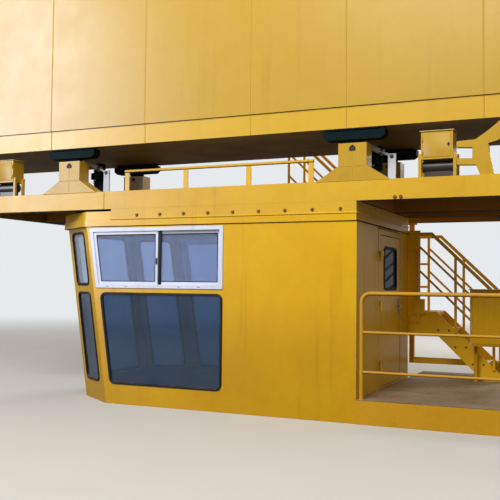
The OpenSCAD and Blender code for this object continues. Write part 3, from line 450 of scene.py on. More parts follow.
@effect("Mask", Top=1.35, Full=0.6, Amount=0.0)
def low_near_shade(tree, given):
    """Painted shade low on the near side: it thickens below a level, and the other sides stay as they are.
    """
    below = ramp(tree, split(tree, object_place(tree))[2], given["Top"], given["Full"])
    near_side = ramp(tree, split(tree, surface_normal(tree))[1], -0.25, -0.75)
    patches = ramp(tree, noise(tree, 1.7, 4.0, 0.6), 0.3, 0.65, 0.72, 1.0)
    mask = product(tree, below, near_side, patches)
    return [product(tree, mask, given["Amount"])]


@effect("Height", Peel=0.25, Waves=0.6)
def rolled_coat(tree, given):
    """The skin of sprayed paint on rolled plate: fine orange peel over slow waves of the plate."""
    peel = product(tree, noise(tree, 260.0, 2.0), given["Peel"])
    waves = product(tree, noise(tree, 2.2, 2.0, 0.4), given["Waves"])
    return [total(tree, peel, waves)]


# Finishes


def srgb(red, green, blue):
    """A colour written in display values from 0 to 255, as linear light."""
    value = np.array([red, green, blue]) / 255.0
    linear = np.where(value <= 0.04045, value / 12.92, ((value + 0.055) / 1.055) ** 2.4)
    return (*linear.tolist(), 1.0)


DUST = srgb(176, 160, 138)
# Soot for streaks, and the dark of undersides: soot and painted shade under things.
SOOT_AND_SHADE = srgb(33, 19, 10)
RUST = srgb(112, 58, 28)
# Painted shade low on the cab's near side.
LOW_SHADE_TONE = srgb(160, 108, 4)
PRIMER = srgb(150, 120, 88)
FILM = srgb(196, 190, 180)


def material(name):
    """A new material with a Principled surface, and its tree."""
    made = bpy.data.materials.new(name)
    made.use_nodes = True
    return made, made.node_tree, made.node_tree.nodes["Principled BSDF"]


SOFT_EDGE = 0.0035


def painted(name, colour, deep, rough=0.38, clouds=0.5, drift=0.5, streaks=0.3, streak_tone=SOOT_AND_SHADE, dust=0.45,
            under_shade=0.85, wear=0.5, wear_tone=PRIMER, wear_width=0.006, rust=0.3, peel=0.2, sheen=0.35,
            low_shade=0.0, inward_tone=None, inward_centre=None):
    """Machine paint on steel: a drifting coat, then streaks, dust, soot and painted shade underneath,
    painted shade low on the near side, worn edges and rust, each from its own effect, and an inward tone on
    faces that look towards a centre: the colour of the cab's inner walls, and painted shade on the far
    beam's near face."""
    made, tree, shader = material(name)
    coat = applied(tree, cloudy_coat, Colour=colour, Deep=deep, Clouds=clouds, Amount=drift)["Colour"]
    if inward_tone is not None:
        inside = applied(tree, facing_centre, Centre=tuple(inward_centre))["Mask"]
        coat = mixed(tree, inside, coat, inward_tone)
    streak = applied(tree, rain_streaks, Amount=streaks)["Mask"]
    dusty = applied(tree, settled_dust, Amount=dust)["Mask"]
    # Undersides darken: soot, and painted shade under things.
    shade_and_grime = applied(tree, under_shade_grime, Amount=under_shade)["Mask"]
    worn = applied(tree, worn_edges, Amount=wear, Width=wear_width)["Mask"]
    rusty = applied(tree, rust_spots, Amount=rust)
    coat = mixed(tree, streak, coat, streak_tone)
    # Darker towards the foot of faces that look to the near side: painted shade.
    if low_shade > 0:
        coat = mixed(tree, applied(tree, low_near_shade, Amount=low_shade)["Mask"], coat, LOW_SHADE_TONE)
    coat = mixed(tree, worn, coat, wear_tone)
    coat = mixed(tree, rusty["Mask"], coat, RUST)
    coat = mixed(tree, dusty, coat, DUST)
    coat = mixed(tree, shade_and_grime, coat, SOOT_AND_SHADE)
    dull = maths(tree, "MAXIMUM", maths(tree, "MAXIMUM", dusty, shade_and_grime), rusty["Mask"])
    smear = noise(tree, 3.4, 4.0, 0.6)
    gloss = total(tree, product(tree, smear, 0.16), rough - 0.08)
    height = applied(tree, rolled_coat, Peel=peel)["Height"]
    height = total(tree, height, product(tree, rusty["Height"], 0.8))
    height = maths(tree, "SUBTRACT", height, product(tree, worn, 0.25))
    softened = node(tree, "Bevel", {"Radius": SOFT_EDGE}, samples=4)["Normal"]
    filled(tree, shader, {
        "Base Color": coat,
        "Roughness": total(tree, gloss, product(tree, dull, 0.35)),
        "Normal": relief(tree, height, 0.004, 0.24, {"Normal": softened}),
        "Specular IOR Level": sheen,
    })
    return made


def bare_metal(name, colour, deep, rough=0.35, rust=0.5, metallic=1.0):
    """Bare steel or aluminium: drifting tone, fine drawn grain in its gloss, and rust where it has it."""
    made, tree, shader = material(name)
    tone = applied(tree, cloudy_coat, Colour=colour, Deep=deep, Clouds=2.0, Mottle=40.0, Amount=0.7)
    rusty = applied(tree, rust_spots, Amount=rust, Scale=22.0)
    drawn = noise(tree, 1.0, place=stretched_place(tree, (3.0, 300.0, 300.0)))
    gloss = total(tree, product(tree, drawn, 0.2), rough - 0.1)
    height = total(tree, product(tree, drawn, 0.3), rusty["Height"])
    filled(tree, shader, {
        "Base Color": mixed(tree, rusty["Mask"], tone["Colour"], RUST),
        "Roughness": total(tree, gloss, product(tree, rusty["Mask"], 0.4)),
        "Normal": relief(tree, height, 0.002, 0.2),
        "Metallic": metallic,
    })
    return made


def rubber(name, colour, deep, rough=0.55):
    """Black rubber: chalky in patches, with a fine moulded skin."""
    made, tree, shader = material(name)
    coat = applied(tree, cloudy_coat, Colour=colour, Deep=deep, Clouds=3.0, Mottle=60.0, Amount=0.4)
    dusty = applied(tree, settled_dust, Amount=0.7, Scale=12.0)["Mask"]
    filled(tree, shader, {
        "Base Color": mixed(tree, dusty, coat["Colour"], DUST),
        "Roughness": total(tree, product(tree, noise(tree, 30.0), 0.2), rough - 0.1),
        "Normal": relief(tree, noise(tree, 500.0), 0.001, 0.3),
        "Specular IOR Level": 0.12,
    })
    return made


def window_glass(name, colour, film, clear, upper_reflection=None, bend=1.5):
    """Tinted glass that lets the clear share of light through, with a film of dust in clouds and faint
    wiping marks in its gloss. Panes over the sill of the upper row may have a paler colour of their own, a
    painted reflection."""
    made, tree, shader = material(name)
    if upper_reflection is not None:
        upper = ramp(tree, split(tree, object_place(tree))[2], *UPPER_SILL)
        colour = mixed(tree, upper, colour, upper_reflection)
    film_share = ramp(tree, noise(tree, 2.6, 5.0, 0.6), 0.4, 0.8, 0.0, film)
    wiped = noise(tree, 3.0, 5.0, 0.65, stretched_place(tree, (2.0, 2.0, 9.0)))
    filled(tree, shader, {
        "Base Color": mixed(tree, film_share, colour, FILM),
        "Roughness": total(tree, ramp(tree, wiped, 0.45, 0.8, 0.0, 0.16), 0.015),
        "Transmission Weight": clear,
        "IOR": bend,
    })
    return made


CAB_CENTRE = (low("cab_floor") + high("cab_floor")) / 2 + UP


def finishes_of(maker, table):
    """One finish from each row of a table: its name, its two tones in display values and its settings."""
    return {name: maker(name, srgb(*colour), srgb(*deep), **settings)
            for name, (colour, deep, settings) in table.items()}


FINISHES = {
    **finishes_of(painted, {
        "girder_paint": ((221, 178, 36), (204, 157, 28), dict(
            rough=0.33, clouds=0.3, streaks=0.14, rust=0.12, sheen=0.3)),
        # Much darker than the crossheads' and motors' teal paint: painted shade under the girder.
        "machine_paint": ((11, 30, 35), (8, 20, 26), dict(
            rough=0.65, dust=0.2, wear=0.2, wear_tone=srgb(52, 66, 70), rust=0.4, sheen=0.04)),
        "cylinder_paint": ((212, 220, 236), (182, 194, 214), dict(
            rough=0.32, streaks=0.2, wear_tone=srgb(170, 172, 176))),
        "frame_paint": ((227, 181, 34), (205, 154, 26), dict(
            rough=0.36, clouds=0.7, drift=0.6, streaks=0.24, under_shade=1.0, rust=0.35, sheen=0.26)),
        "deck_paint": ((150, 118, 62), (108, 82, 44), dict(rough=0.55, dust=0.8, under_shade=1.0, rust=0.8)),
        "base_paint": ((58, 54, 50), (38, 34, 30), dict(rough=0.6, rust=0.8)),
        "floor_sheet": ((70, 72, 74), (52, 54, 56), dict(rough=0.5, dust=0.4, rust=0.0)),
        # The cab's near side darkens towards its foot: painted shade.
        "cab_paint": ((232, 184, 12), (214, 158, 8), dict(
            rough=0.3, clouds=0.6, drift=0.6, streaks=0.45, streak_tone=srgb(160, 104, 16), dust=0.35,
            rust=0.1, sheen=0.28, low_shade=0.4, inward_tone=srgb(176, 176, 170), inward_centre=CAB_CENTRE)),
        "platform_paint": ((210, 158, 24), (180, 128, 18), dict(
            rough=0.4, dust=0.4, rust=0.6, sheen=0.22)),
        # Brighter than the stair's own paint: painted light on the stair where it stands in shade.
        "stair_paint": ((250, 200, 34), (230, 170, 24), dict(rough=0.4, dust=0.4, rust=0.6, sheen=0.22)),
        "aluminium": ((222, 230, 255), (200, 208, 238), dict(
            rough=0.35, clouds=2.0, drift=0.4, streaks=0.2, dust=0.4, under_shade=0.5, wear=0.3,
            wear_tone=srgb(150, 152, 158), wear_width=0.003, rust=0.0, peel=0.1)),
        # A darker copy of the girder's paint for its webs: painted shade.
        "web_paint": ((203, 163, 40), (184, 142, 30), dict(
            rough=0.33, clouds=0.3, streaks=0.16, rust=0.12, sheen=0.3)),
        "weld_paint": ((205, 162, 38), (184, 140, 28), dict(rough=0.42, wear=0.0, sheen=0.2)),
        # A darker copy for the end cabinets' doors and hinges: painted shade under the girder.
        "cabinet_paint": ((194, 154, 34), (172, 130, 24), dict(drift=0.6, wear=0.3, rust=0.4, sheen=0.2)),
        "plate_paint": ((130, 102, 62), (100, 79, 52), dict(
            rough=0.6, dust=0.5, wear=0.3, rust=0.8, sheen=0.15)),
        # The far beam's near face is browner: painted shade under the deck.
        "far_beam_paint": ((227, 181, 34), (205, 154, 26), dict(
            rough=0.4, clouds=0.7, streaks=0.24, under_shade=1.0, sheen=0.2, inward_tone=srgb(136, 96, 48),
            inward_centre=(0.0, -1.0, 2.3))),
        # A darker, browner copy of the frame's paint for the beams under the deck: painted shade.
        "under_paint": ((166, 118, 42), (146, 100, 34), dict(rough=0.5, under_shade=1.0, sheen=0.15)),
        "shaded_paint": ((204, 163, 32), (182, 138, 24), dict(
            rough=0.36, clouds=0.9, drift=0.6, rust=0.5, sheen=0.24)),
        # Paler than the kerb's own paint: painted light.
        "kerb_paint": ((255, 222, 70), (250, 196, 40), dict(rough=0.36, streaks=0.2, dust=0.3, wear=0.4)),
        # Paler paint on edges that catch the light: painted highlight.
        "pale_edge": ((228, 198, 120), (206, 172, 88), dict(rough=0.42, streaks=0.2, dust=0.5, wear=0.7)),
    }),
    **finishes_of(bare_metal, {
        "steel": ((150, 148, 146), (98, 94, 90), dict(rust=0.8)),
        "worn_bolt": ((124, 82, 30), (88, 58, 24), dict(rough=0.75, rust=0.3, metallic=0.0)),
        "red_clip": ((126, 52, 8), (92, 40, 8), dict(rough=0.75, rust=0.3, metallic=0.0)),
        # Nearly black: painted shade of the hole round each hanger pin, on the pins, their keepers and
        # bolts.
        "dark_pin": ((44, 38, 40), (28, 25, 28), dict(rough=0.75, rust=0.2, metallic=0.1)),
        "dark_bolt": ((92, 66, 48), (58, 40, 30), dict(rough=0.55, rust=1.0, metallic=0.35)),
        "dark_steel": ((62, 58, 58), (36, 34, 36), dict(rough=0.42, metallic=0.6)),
    }),
    **finishes_of(rubber, {
        "gasket": ((17, 17, 20), (40, 38, 38), {}),
        # Dark: painted shade of the line under the roof's lip.
        "mastic": ((66, 46, 28), (84, 66, 44), dict(rough=0.7)),
        "lock_strip": ((34, 33, 35), (60, 58, 58), dict(rough=0.5)),
    }),
    "glass": window_glass("glass", srgb(178, 197, 234), film=0.15, clear=0.78),
    # The fixed glass's upper panes are paler: painted reflection.
    "dark_glass": window_glass("dark_glass", srgb(100, 134, 170), film=0.15, clear=0.88,
                               upper_reflection=srgb(205, 219, 244)),
    # Darker and less clear than the other glass: painted shade on the door in the shaded rear wall.
    "door_glass": window_glass("door_glass", srgb(36, 88, 126), film=0.1, clear=0.3, bend=1.12),
}

# CAD nodes whose finish isn't their slot's
NODE_FINISHES = {
    "fixed_glass": "dark_glass",
    "door_glass": "door_glass",
    "hanger_pins": "dark_pin",
    "door_hinges": "cab_paint",
    "kerb_rail": "kerb_paint",
    "end_rollers": "dark_steel",
    "far_beam": "far_beam_paint",
    "mid_beam": "under_paint",
    "trimmer_beam": "under_paint",
    "cross_beams": "under_paint",
    "platform_plate": "plate_paint",
    "girder_webs": "web_paint",
    "pedestals": "shaded_paint",
    "end_cabinets": "shaded_paint",
    "end_arms": "shaded_paint",
}


def dress_nodes():
    """Gives every CAD node the finish of its material slot, or its own where it has one."""
    for name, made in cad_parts.items():
        for slot in made.material_slots:
            slot.material = FINISHES[NODE_FINISHES.get(name, slot.material.name)]


# Pieces


def collar_bolts():
    """Bolts that hold the roof collar to the roof, in a row along the near and far sides."""
    bolt = hex_bolt(0.030, 0.013, 0.0185)
    along = np.linspace(-2.61, -0.17, 9)
    height = COLLAR_FOOT + 0.042
    forms = [placed(bolt, at(along, face, height), out) for face, out in COLLAR_SIDES]
    piece("collar_bolts", forms, "steel", "worn_bolt")


def beam_clips():
    """Two small red-brown clip bolts low on the near beam, behind the cab's rear wall."""
    clip = hex_bolt(0.034, 0.010, 0.019)
    spots = at([0.395, 0.455], 0.0, BEAM_FOOT + 0.022)
    piece("beam_clips", [placed(clip, spots, NEAR)], "steel", "red_clip")


def lip_path(out, height, front=COLLAR_FRONT):
    """The run along the cab's near side, rear and far side at a height, so far out from its faces."""
    near, far, rear = FACE_NEAR - out, FACE_FAR + out, CAB_REAR + out
    return np.array([[x, y, height] for x, y in [(front, near), (rear, near), (rear, far), (front, far)]])


def roof_moulding():
    """A half-round strip over the joint between the roof's lip and the collar."""
    angle = np.linspace(-math.pi / 2, math.pi / 2, 9)
    profile = np.stack([0.008 * np.cos(angle), 0.009 * np.sin(angle)], axis=-1)
    strip = carried(profile, lip_path(0.0, COLLAR_FOOT))
    piece("roof_moulding", [strip], "cab_paint")


def round_profile(radius):
    """The outline of a round bead, as (out, up) points on a circle."""
    angle = circle(8)
    return np.stack([radius * np.cos(angle), radius * np.sin(angle)], axis=-1)


def wall_shade_bead():
    """Mastic pressed into the corner between the cab's walls and the roof's lip, dark as painted shade of
    the line under the lip.
    """
    path = lip_path(FACE_NEAR - CAB_NEAR, CAB_WALL_TOP - 0.001, front=CAB_REAR - 3.25)
    path[1:3, 0] = CAB_REAR
    piece("wall_shade_bead", [carried(round_profile(0.008), path)], "gasket", "mastic")


def long_fillets(left, right, near_y, far_y, level, rise):
    """The fillets along the near and the far side of a foot, or of a head where rise is down."""
    sides = [(near_y, NEAR), (far_y, FAR)]
    return [weld_bead(*at([left, right], y, level), unit(rise + out)) for y, out in sides]


def girder_welds():
    """Butt welds across the girder's webs and bands, and the fillets along the ledge between them."""
    seams = [-5.10, -3.86, -2.53, -1.20, -0.12, 1.25]
    web_foot, web_top = high("girder_bands")[2], high("girder_webs")[2]
    band_foot = low("girder_bands")[2]
    forms = []
    for (web, out), (band, _) in zip(GIRDER_SIDES, BAND_SIDES):
        for x in seams:
            forms.append(weld_bead(*at(x, web, [web_foot + 0.002, web_top - 0.002]), out, 0.016, 0.0022))
            forms.append(weld_bead(*at(x, band, [band_foot, web_foot - 0.002]), out, 0.016, 0.0022))
        forms.append(weld_bead(*at([-5.79, 2.19], band, web_foot), unit(out - UP), 0.012, 0.004, 0.012))
    piece("girder_welds", forms, "girder_paint", "weld_paint")


def frame_welds():
    """Welds of the carrying frame: the seam in each long beam, the feet of the pedestals and the end arms,
    and the seams on the pedestals' outer faces, one up the middle and one across the shoulders."""
    half_foot, half_shoulder = 0.385, 0.135
    face_foot, shoulder, face_top = 2.480, 2.606, 2.755
    forms = []
    for face, out in FRAME_SIDES:
        forms.append(weld_bead(*at(-3.07, face, [BEAM_FOOT + 0.002, BEAM_TOP - 0.002]), out, 0.015, 0.0024))
    for face, out in GIRDER_SIDES:
        for middle in PEDESTAL_MIDDLES:
            across = [middle - half_shoulder, middle + half_shoulder]
            forms.append(weld_bead(*at(middle, face, [face_foot, face_top]), out, 0.009, 0.0018))
            forms.append(weld_bead(*at(across, face, shoulder), out, 0.009, 0.0018))
    for middle in PEDESTAL_MIDDLES:
        left, right = middle - half_foot, middle + half_foot
        for near_y, far_y in [(0.0, 0.19), (1.41, 1.6)]:
            forms += long_fillets(left, right, near_y, far_y, DECK_TOP, UP)
            for x, out in [(left, FRONT), (right, REAR)]:
                forms.append(weld_bead(*at(x, [near_y, far_y], DECK_TOP), unit(UP + out)))
    for left, right in [(1.214, 1.344), (-5.124, -4.994)]:
        forms += long_fillets(left, right, 0.02, 0.09, DECK_TOP, UP)
    piece("frame_welds", forms, "frame_paint", "weld_paint")


def hanger_fittings():
    """At every pedestal: a keeper plate with two bolts over the pin's outer end, and a greasing nipple, all
    nearly black as painted shade of the hole round the pin."""
    keeper = block((0.066, 0.042, 0.008), 0.004)
    bolt = hex_bolt(0.012, 0.006, 0.008)
    nipple = turned([0.006, 0.006, 0.0035, 0.0045, 0.002], [0, 0.006, 0.009, 0.013, 0.016], 10)
    pin_level = 2.781
    plates, bolts = [], []
    for face, out in GIRDER_SIDES:
        plates.append(placed(keeper, at(PEDESTAL_MIDDLES, face, pin_level), out))
        for shift in [-0.022, 0.022]:
            spots = at(PEDESTAL_MIDDLES + shift, face, pin_level) + 0.008 * out
            bolts.append(placed(bolt, spots, out))
        bolts.append(placed(nipple, at(PEDESTAL_MIDDLES, face, pin_level + 0.024), out))
    piece("pin_keepers", plates, "steel", "dark_pin")
    piece("pin_keeper_bolts", bolts, "steel", "dark_pin")


def crosshead_welds():
    """Fillets that join each crosshead to its flange."""
    half_head, flange = 0.27, 2.981
    forms = []
    for near_y, far_y in [(0.03, 0.16), (1.44, 1.57)]:
        for middle in PEDESTAL_MIDDLES:
            forms += long_fillets(middle - half_head, middle + half_head, near_y, far_y, flange, -UP)
    piece("crosshead_welds", forms, "machine_paint")


def push_fittings():
    """The push cylinders' headed pins, through the lug at each end, and a collar round each end of the
    tube."""
    head = hex_bolt(0.034, 0.012, 0.021)
    collar = turned([0.0315, 0.037, 0.037, 0.0315], [-0.016, -0.013, 0.013, 0.016])
    pins, collars = [], []
    for middle in PEDESTAL_MIDDLES:
        ends = at([middle - 0.095, middle + 0.335], 0.30, [2.935, 2.726])
        along = unit(ends[1] - ends[0])
        for out in (NEAR, FAR):
            pins.append(placed(head, ends + 0.012 * out, out))
        collars.append(placed(collar, [ends[0] + along * d for d in (0.075, 0.355)], along))
    piece("cylinder_collars", collars, "steel")
    piece("cylinder_pins", pins, "steel", "dark_bolt")


def motor_fittings():
    """Each gear motor's cowl, lifting eye and terminal box with its cable down to the deck."""
    cowl = turned([0.070, 0.074, 0.074, 0.066, 0.030], [-0.062, -0.056, -0.012, 0.003, 0.007], 36)
    eye = ring_bead(0.016, 0.005, 20)
    terminal = block((0.094, 0.082, 0.052), 0.007)
    gland = hex_bolt(0.022, 0.012, 0.013)
    cowls, greys, darks = [], [], []
    y, top = 0.45, high("gear_motors")[2]
    for x in PEDESTAL_MIDDLES + 0.122:
        cowls.append(placed(cowl, at(x, y, top)))
        greys.append(placed(eye, at(x, y, top + 0.024), NEAR))
        cowls.append(placed(terminal, at(x, y - 0.064, 2.70), NEAR))
        greys.append(placed(gland, at(x, y - 0.09, 2.659), -UP))
        turn = np.linspace(0, math.pi / 2, 7)
        drop = at(x, y - 0.09, 2.65 - 0.13 * np.linspace(0, 1, 5))
        bend = at(x, y - 0.15 + 0.06 * np.cos(turn), 2.52 - 0.055 * np.sin(turn))
        darks.append(carried(round_profile(0.0075), np.concatenate([drop, bend[1:]]), REAR))
    piece("motor_cowls", cowls, "machine_paint")
    piece("motor_eyes", greys, "steel")
    piece("motor_cables", darks, "gasket")


def panel_on(middle, out, width, height, thick=0.004, radius=0.012):
    """A thin raised panel, centred on a spot of a standing face and let 12 mm into it."""
    outline = rounded_bar((width, height), radius, 4)
    levels = np.array([[0.0, -0.012], [0.0, thick * 0.7], [thick * 0.3, thick]])
    rings = [np.concatenate([outline * (1 - 2 * cut / np.array([width, height])),
                             np.full((len(outline), 1), level)], axis=1) for cut, level in levels]
    return placed(skin(rings), middle, out)


def cabinet_fittings():
    """Doors, hinges, latches and rain lids of the two cabinets on legs and of the cabinet by the stair."""
    doors, lids, hinges, metal = [], [], [], []
    hinge = turned([0.0055, 0.007, 0.007, 0.0055], [0, 0.002, 0.052, 0.054], 14)
    latch = turned([0.013, 0.013, 0.010, 0.010, 0.007], [0, 0.004, 0.005, 0.010, 0.012])
    bar = block((0.007, 0.034, 0.006), 0.0025)
    lid = block((0.226, 0.335, 0.007), 0.003)
    for left, right, side in [(0.654, 0.963, 1), (-4.743, -4.434, -1)]:
        middle = (left + right) / 2
        doors.append(panel_on(at(middle, 0.0, 2.766), NEAR, 0.272, 0.236))
        doors.append(panel_on(at(middle, 0.2, 2.766), FAR, 0.272, 0.236))
        lids.append(placed(lid, at(middle, 0.1, 2.903)))
        hinges.append(placed(hinge, at(middle - side * 0.141, -0.004, [2.67, 2.80])))
        metal.append(placed(latch, at(middle + side * 0.112, -0.004, 2.77), NEAR))
        metal.append(placed(bar, at(middle + side * 0.112, -0.014, 2.77), NEAR))
    left, right, near, top = 0.8, 1.26, 2.01, 1.35
    middle = (left + right) / 2
    stair_door = panel_on(at(middle, near, 1.01), NEAR, 0.404, 0.596, 0.005, 0.016)
    piece("stair_cabinet_door", [stair_door], "stair_paint")
    lids.append(placed(block((0.252, 0.494, 0.010), 0.004), at(middle, near + 0.11, top)))
    hinges.append(placed(hinge, at(left + 0.020, near - 0.005, [0.80, 1.17])))
    metal.append(placed(latch, at(right - 0.055, near - 0.005, [0.90, 1.10]), NEAR))
    metal.append(placed(bar, at(right - 0.055, near - 0.015, [0.90, 1.10]), NEAR))
    # The end cabinets' doors and hinges take a darker paint: painted shade under the girder.
    piece("cabinet_doors", doors, "frame_paint", "cabinet_paint")
    # The lids are pale: painted highlight along the cabinets' top edges.
    piece("cabinet_lids", lids, "frame_paint", "pale_edge")
    piece("cabinet_hinges", hinges, "frame_paint", "cabinet_paint")
    piece("cabinet_metal", metal, "steel", "dark_steel")


def highlight_strips():
    """Flat strips of paler paint on the flange beside the cab's far corner and down the stair cabinet's
    front edge, a painted highlight where those edges catch the light, and the sheet that closes the gap
    between that corner and the flange."""
    thin, fold = 0.002, 0.0008
    sheet = placed(block((0.146, 1.090, thin), fold), at(0.0385, 2.2837, 1.545), NEAR)
    piece("newel_sheet", [sheet], "stair_paint")
    forms = [placed(block((0.030, 0.608, thin), fold), at(0.128, 2.2617, 1.534), NEAR)]
    forms.append(placed(block((0.020, 0.660, thin), fold), at(0.812, 2.01, 1.015), NEAR))
    piece("highlight_strips", forms, "stair_paint", "pale_edge")


def window_outlines():
    """The four corners of every rubber-set pane's opening, with the way out of its wall. The corner and
    front walls lean ahead by a share of the height, and an opening's corner lies so far along the wall's
    foot and so high."""
    turns = [at(x, y, 0.0)[0] for x, y in [(-3.0, 0.015), (-3.575, 0.435), (-3.575, 1.815), (-3.0, 2.235)]]
    rise = np.array([-WALL_LEAN, 0.0, 1.0])
    first = 0.12
    found = []
    for start, end in zip(turns, turns[1:]):
        along = unit(end - start)
        last = np.linalg.norm(end - start) - first
        for foot, head in [LOWER_ROW, UPPER_ROW]:
            spots = [(first, foot), (last, foot), (last, head), (first, head)]
            corners = np.array([start + w * along + z * rise for w, z in spots])
            found.append((corners, unit(np.cross(rise, along))))
    foot, head = LOWER_ROW
    back, low_front, high_front = -1.508, -2.915 - WALL_LEAN * foot, -2.915 - WALL_LEAN * head
    for face, out in CAB_SIDES:
        found.append((at([back, low_front, high_front, back], face, [foot, foot, head, head]), out))
    return found


def rounded_loop(corners, shrink, radius, steps=5):
    """A closed run inside a quad: its sides moved in by shrink and its corners turned on a radius."""
    after = unit(np.roll(corners, -1, axis=0) - corners)
    before = np.roll(after, 1, axis=0)
    half = np.arccos(np.clip((-before * after).sum(axis=1), -1, 1)) / 2
    middle_way = unit(after - before)
    inner = corners + middle_way * (shrink / np.sin(half))[:, None]
    loop = []
    for spot, back, on, way, angle in zip(inner, -before, after, middle_way, half):
        centre = spot + way * radius / math.sin(angle)
        first = unit(spot + back * radius / math.tan(angle) - centre)
        last = unit(spot + on * radius / math.tan(angle) - centre)
        share = np.linspace(0, 1, steps + 1)[:, None]
        loop.append(centre + radius * unit(first * (1 - share) + last * share))
    return np.concatenate(loop)


def gasket_strips():
    """The locking strip pressed into the middle of every rubber gasket, standing 2 mm proud of it."""
    strip = [(-0.005, 0.0), (-0.004, 0.003), (0.004, 0.003),
             (0.005, 0.0), (0.004, -0.002), (-0.004, -0.002)]
    forms = [carried(strip, rounded_loop(corners, 0.014, 0.056) + 0.008 * out, out, closed=True)
             for corners, out in window_outlines()]
    piece("gasket_strips", forms, "gasket", "lock_strip")


def side_window_fittings():
    """On both side windows: black glazing beads round the sliding panes, a wide dark seal strip beside the
    meeting stile, which is seal and painted shade of the gap between the sashes, a latch on that stile and
    drain slots in the sill."""
    bead = [(-0.004, -0.001), (-0.004, 0.002), (0.004, 0.003), (0.004, -0.001)]
    beads, shade_felts_and_drains, latches = [], [], []
    shade_felt = block((0.034, 0.610, 0.014), 0.003)
    drain = block((0.030, 0.006, 0.0015), 0.0006)
    latch = block((0.018, 0.070, 0.010), 0.004)
    button = block((0.010, 0.026, 0.016), 0.003)
    foot, head = 1.407, 1.951
    front_pane = [-2.367, -2.878 - WALL_LEAN * foot, -2.878 - WALL_LEAN * head, -2.367]
    rear_pane = [-1.584, -2.333, -2.333, -1.584]
    for (wall, out), way in zip(CAB_SIDES, [1, -1]):
        for pane, depth in [(front_pane, 0.004), (rear_pane, 0.0243)]:
            corners = at(pane, wall + way * depth, [foot, foot, head, head])
            beads.append(carried(bead, rounded_loop(corners, 0.003, 0.006, 3), out, closed=True))
        # A wide dark strip beside the meeting stile: seal, and painted shade of the gap between the sashes.
        shade_felts_and_drains.append(placed(shade_felt, at(-2.313, wall + way * 0.022, 1.679), out))
        shade_felts_and_drains.append(placed(drain, at([-1.80, -2.05, -2.75, -3.0], wall - way * 0.012, 1.349), out))
        latches.append(placed(latch, at(-2.350, wall + way * 0.004, 1.640), out))
        latches.append(placed(button, at(-2.350, wall + way * 0.004, 1.650), out))
    piece("glazing_beads", beads, "gasket")
    piece("window_shade_felts", shade_felts_and_drains, "gasket")
    piece("window_latches", latches, "gasket")


def door_fittings():
    """The door's screws, keyhole and drip rail. The leaf's screws and the keyhole ride it."""
    screw = turned([0.0052, 0.0052, 0.0035, 0.0015], [0, 0.0012, 0.0024, 0.0026], 14)
    on_leaf, on_wall = [], []
    for level in [0.451, 1.1125, 1.664]:
        on_leaf.append(placed(screw, at(0.018, [0.945, 0.968, 0.991], level + 0.0825), REAR))
        on_wall.append(placed(screw, at(0.010, 0.856, [level + 0.014, level + 0.040]), REAR))
    on_leaf.append(placed(screw, at(0.006, 1.736, [1.075, 1.225]), REAR))
    piece("leaf_screws", on_leaf, "steel", body="door", sharp=50)
    piece("hinge_screws", on_wall, "steel")
    key = placed(block((0.0022, 0.009, 0.0004), 0.0002), at(0.012, 1.736, 1.095), REAR)
    piece("keyhole", [key], "gasket", body="door")
    profile = [(0.0, 0.0), (0.0, 0.010), (0.024, 0.004), (0.030, -0.010), (0.027, -0.010), (0.022, 0.0)]
    piece("drip_rail", [carried(profile, at(0.0, [0.830, 1.890], 2.032))], "cab_paint")


def rail_welds():
    """Weld rings where the guard rails' posts stand on the platform and where their bars meet."""
    foot = ring_bead(0.0225, 0.0045, 28)
    joint = ring_bead(0.0155, 0.0035, 22, 6)
    rail_top = 1.308
    bars = PLATFORM_TOP + (rail_top - PLATFORM_TOP) * np.array([0.26, 0.633])
    forms = [placed(foot, at([0.05, 1.77, 1.77, 1.77], [0.03, 0.03, 0.725, 1.45], PLATFORM_TOP))]
    for level in bars:
        forms.append(placed(joint, at([0.071, 1.749], 0.03, level), REAR))
        forms.append(placed(joint, at(1.77, [0.051, 0.704, 0.746, 1.429], level), FAR))
    piece("rail_welds", forms, "platform_paint")
    ring = ring_bead(0.018, 0.004)
    spots = at(0.0, 0.25, [2.72, 2.72])
    spots[:, 0] = [low("deck_rail")[0] + 0.06, high("deck_rail")[0] - 0.06]
    piece("deck_rail_welds", [placed(ring, spots, REAR)], "frame_paint")


def tear(length, width, height=0.0016):
    """One chequer tear: a lens outline, drawn in and lifted to a ridge."""
    angle = circle(6)
    sunk = np.full(6, -0.0005)
    outline = np.stack([np.cos(angle) * length / 2, np.sin(angle) * width / 2, sunk], axis=-1)
    top = outline * np.array([0.7, 0.45, 0]) + np.array([0, 0, height])
    points = np.concatenate([outline, top])
    ring = np.arange(6)
    after = (ring + 1) % 6
    faces = np.stack([ring, after, after + 6, ring + 6], axis=-1)
    caps = np.array([[6, 7, 8, 9], [6, 9, 10, 11]])
    return points, np.concatenate([faces, caps])


def tears_on(x0, x1, y0, y1, height, pitch, size):
    """Tears over a rectangle, in rows whose slant alternates like a chessboard."""
    columns = np.arange(x0 + pitch / 2, x1 - pitch / 3, pitch)
    rows = np.arange(y0 + pitch / 2, y1 - pitch / 3, pitch)
    column, row = (grid.ravel() for grid in np.meshgrid(np.arange(len(columns)), np.arange(len(rows))))
    spots = at(columns[column], rows[row], height)
    odd = (column + row) % 2 == 1
    form = tear(pitch * size, pitch * size * 0.3)
    return [placed(form, spots[which], UP, unit(REAR + way)) for which, way in [(odd, FAR), (~odd, NEAR)]]


# The stair's treads, as (x, z) of each tread's middle: three below the landing and six above it
RISE = (DECK_TOP - PLATFORM_TOP) / 11
GOING = RISE / math.tan(math.radians(44))
FIRST_TREAD = PLATFORM_TOP + 0.020
LANDING_TOP = FIRST_TREAD + 4 * RISE
STEP_SPOTS = ([(1.06 - i * GOING, FIRST_TREAD + i * RISE) for i in (1, 2, 3)]
              + [(-0.2233 - i * GOING, LANDING_TOP + i * RISE) for i in range(1, 7)])
TREAD_WIDTH = (2.312, 2.844)


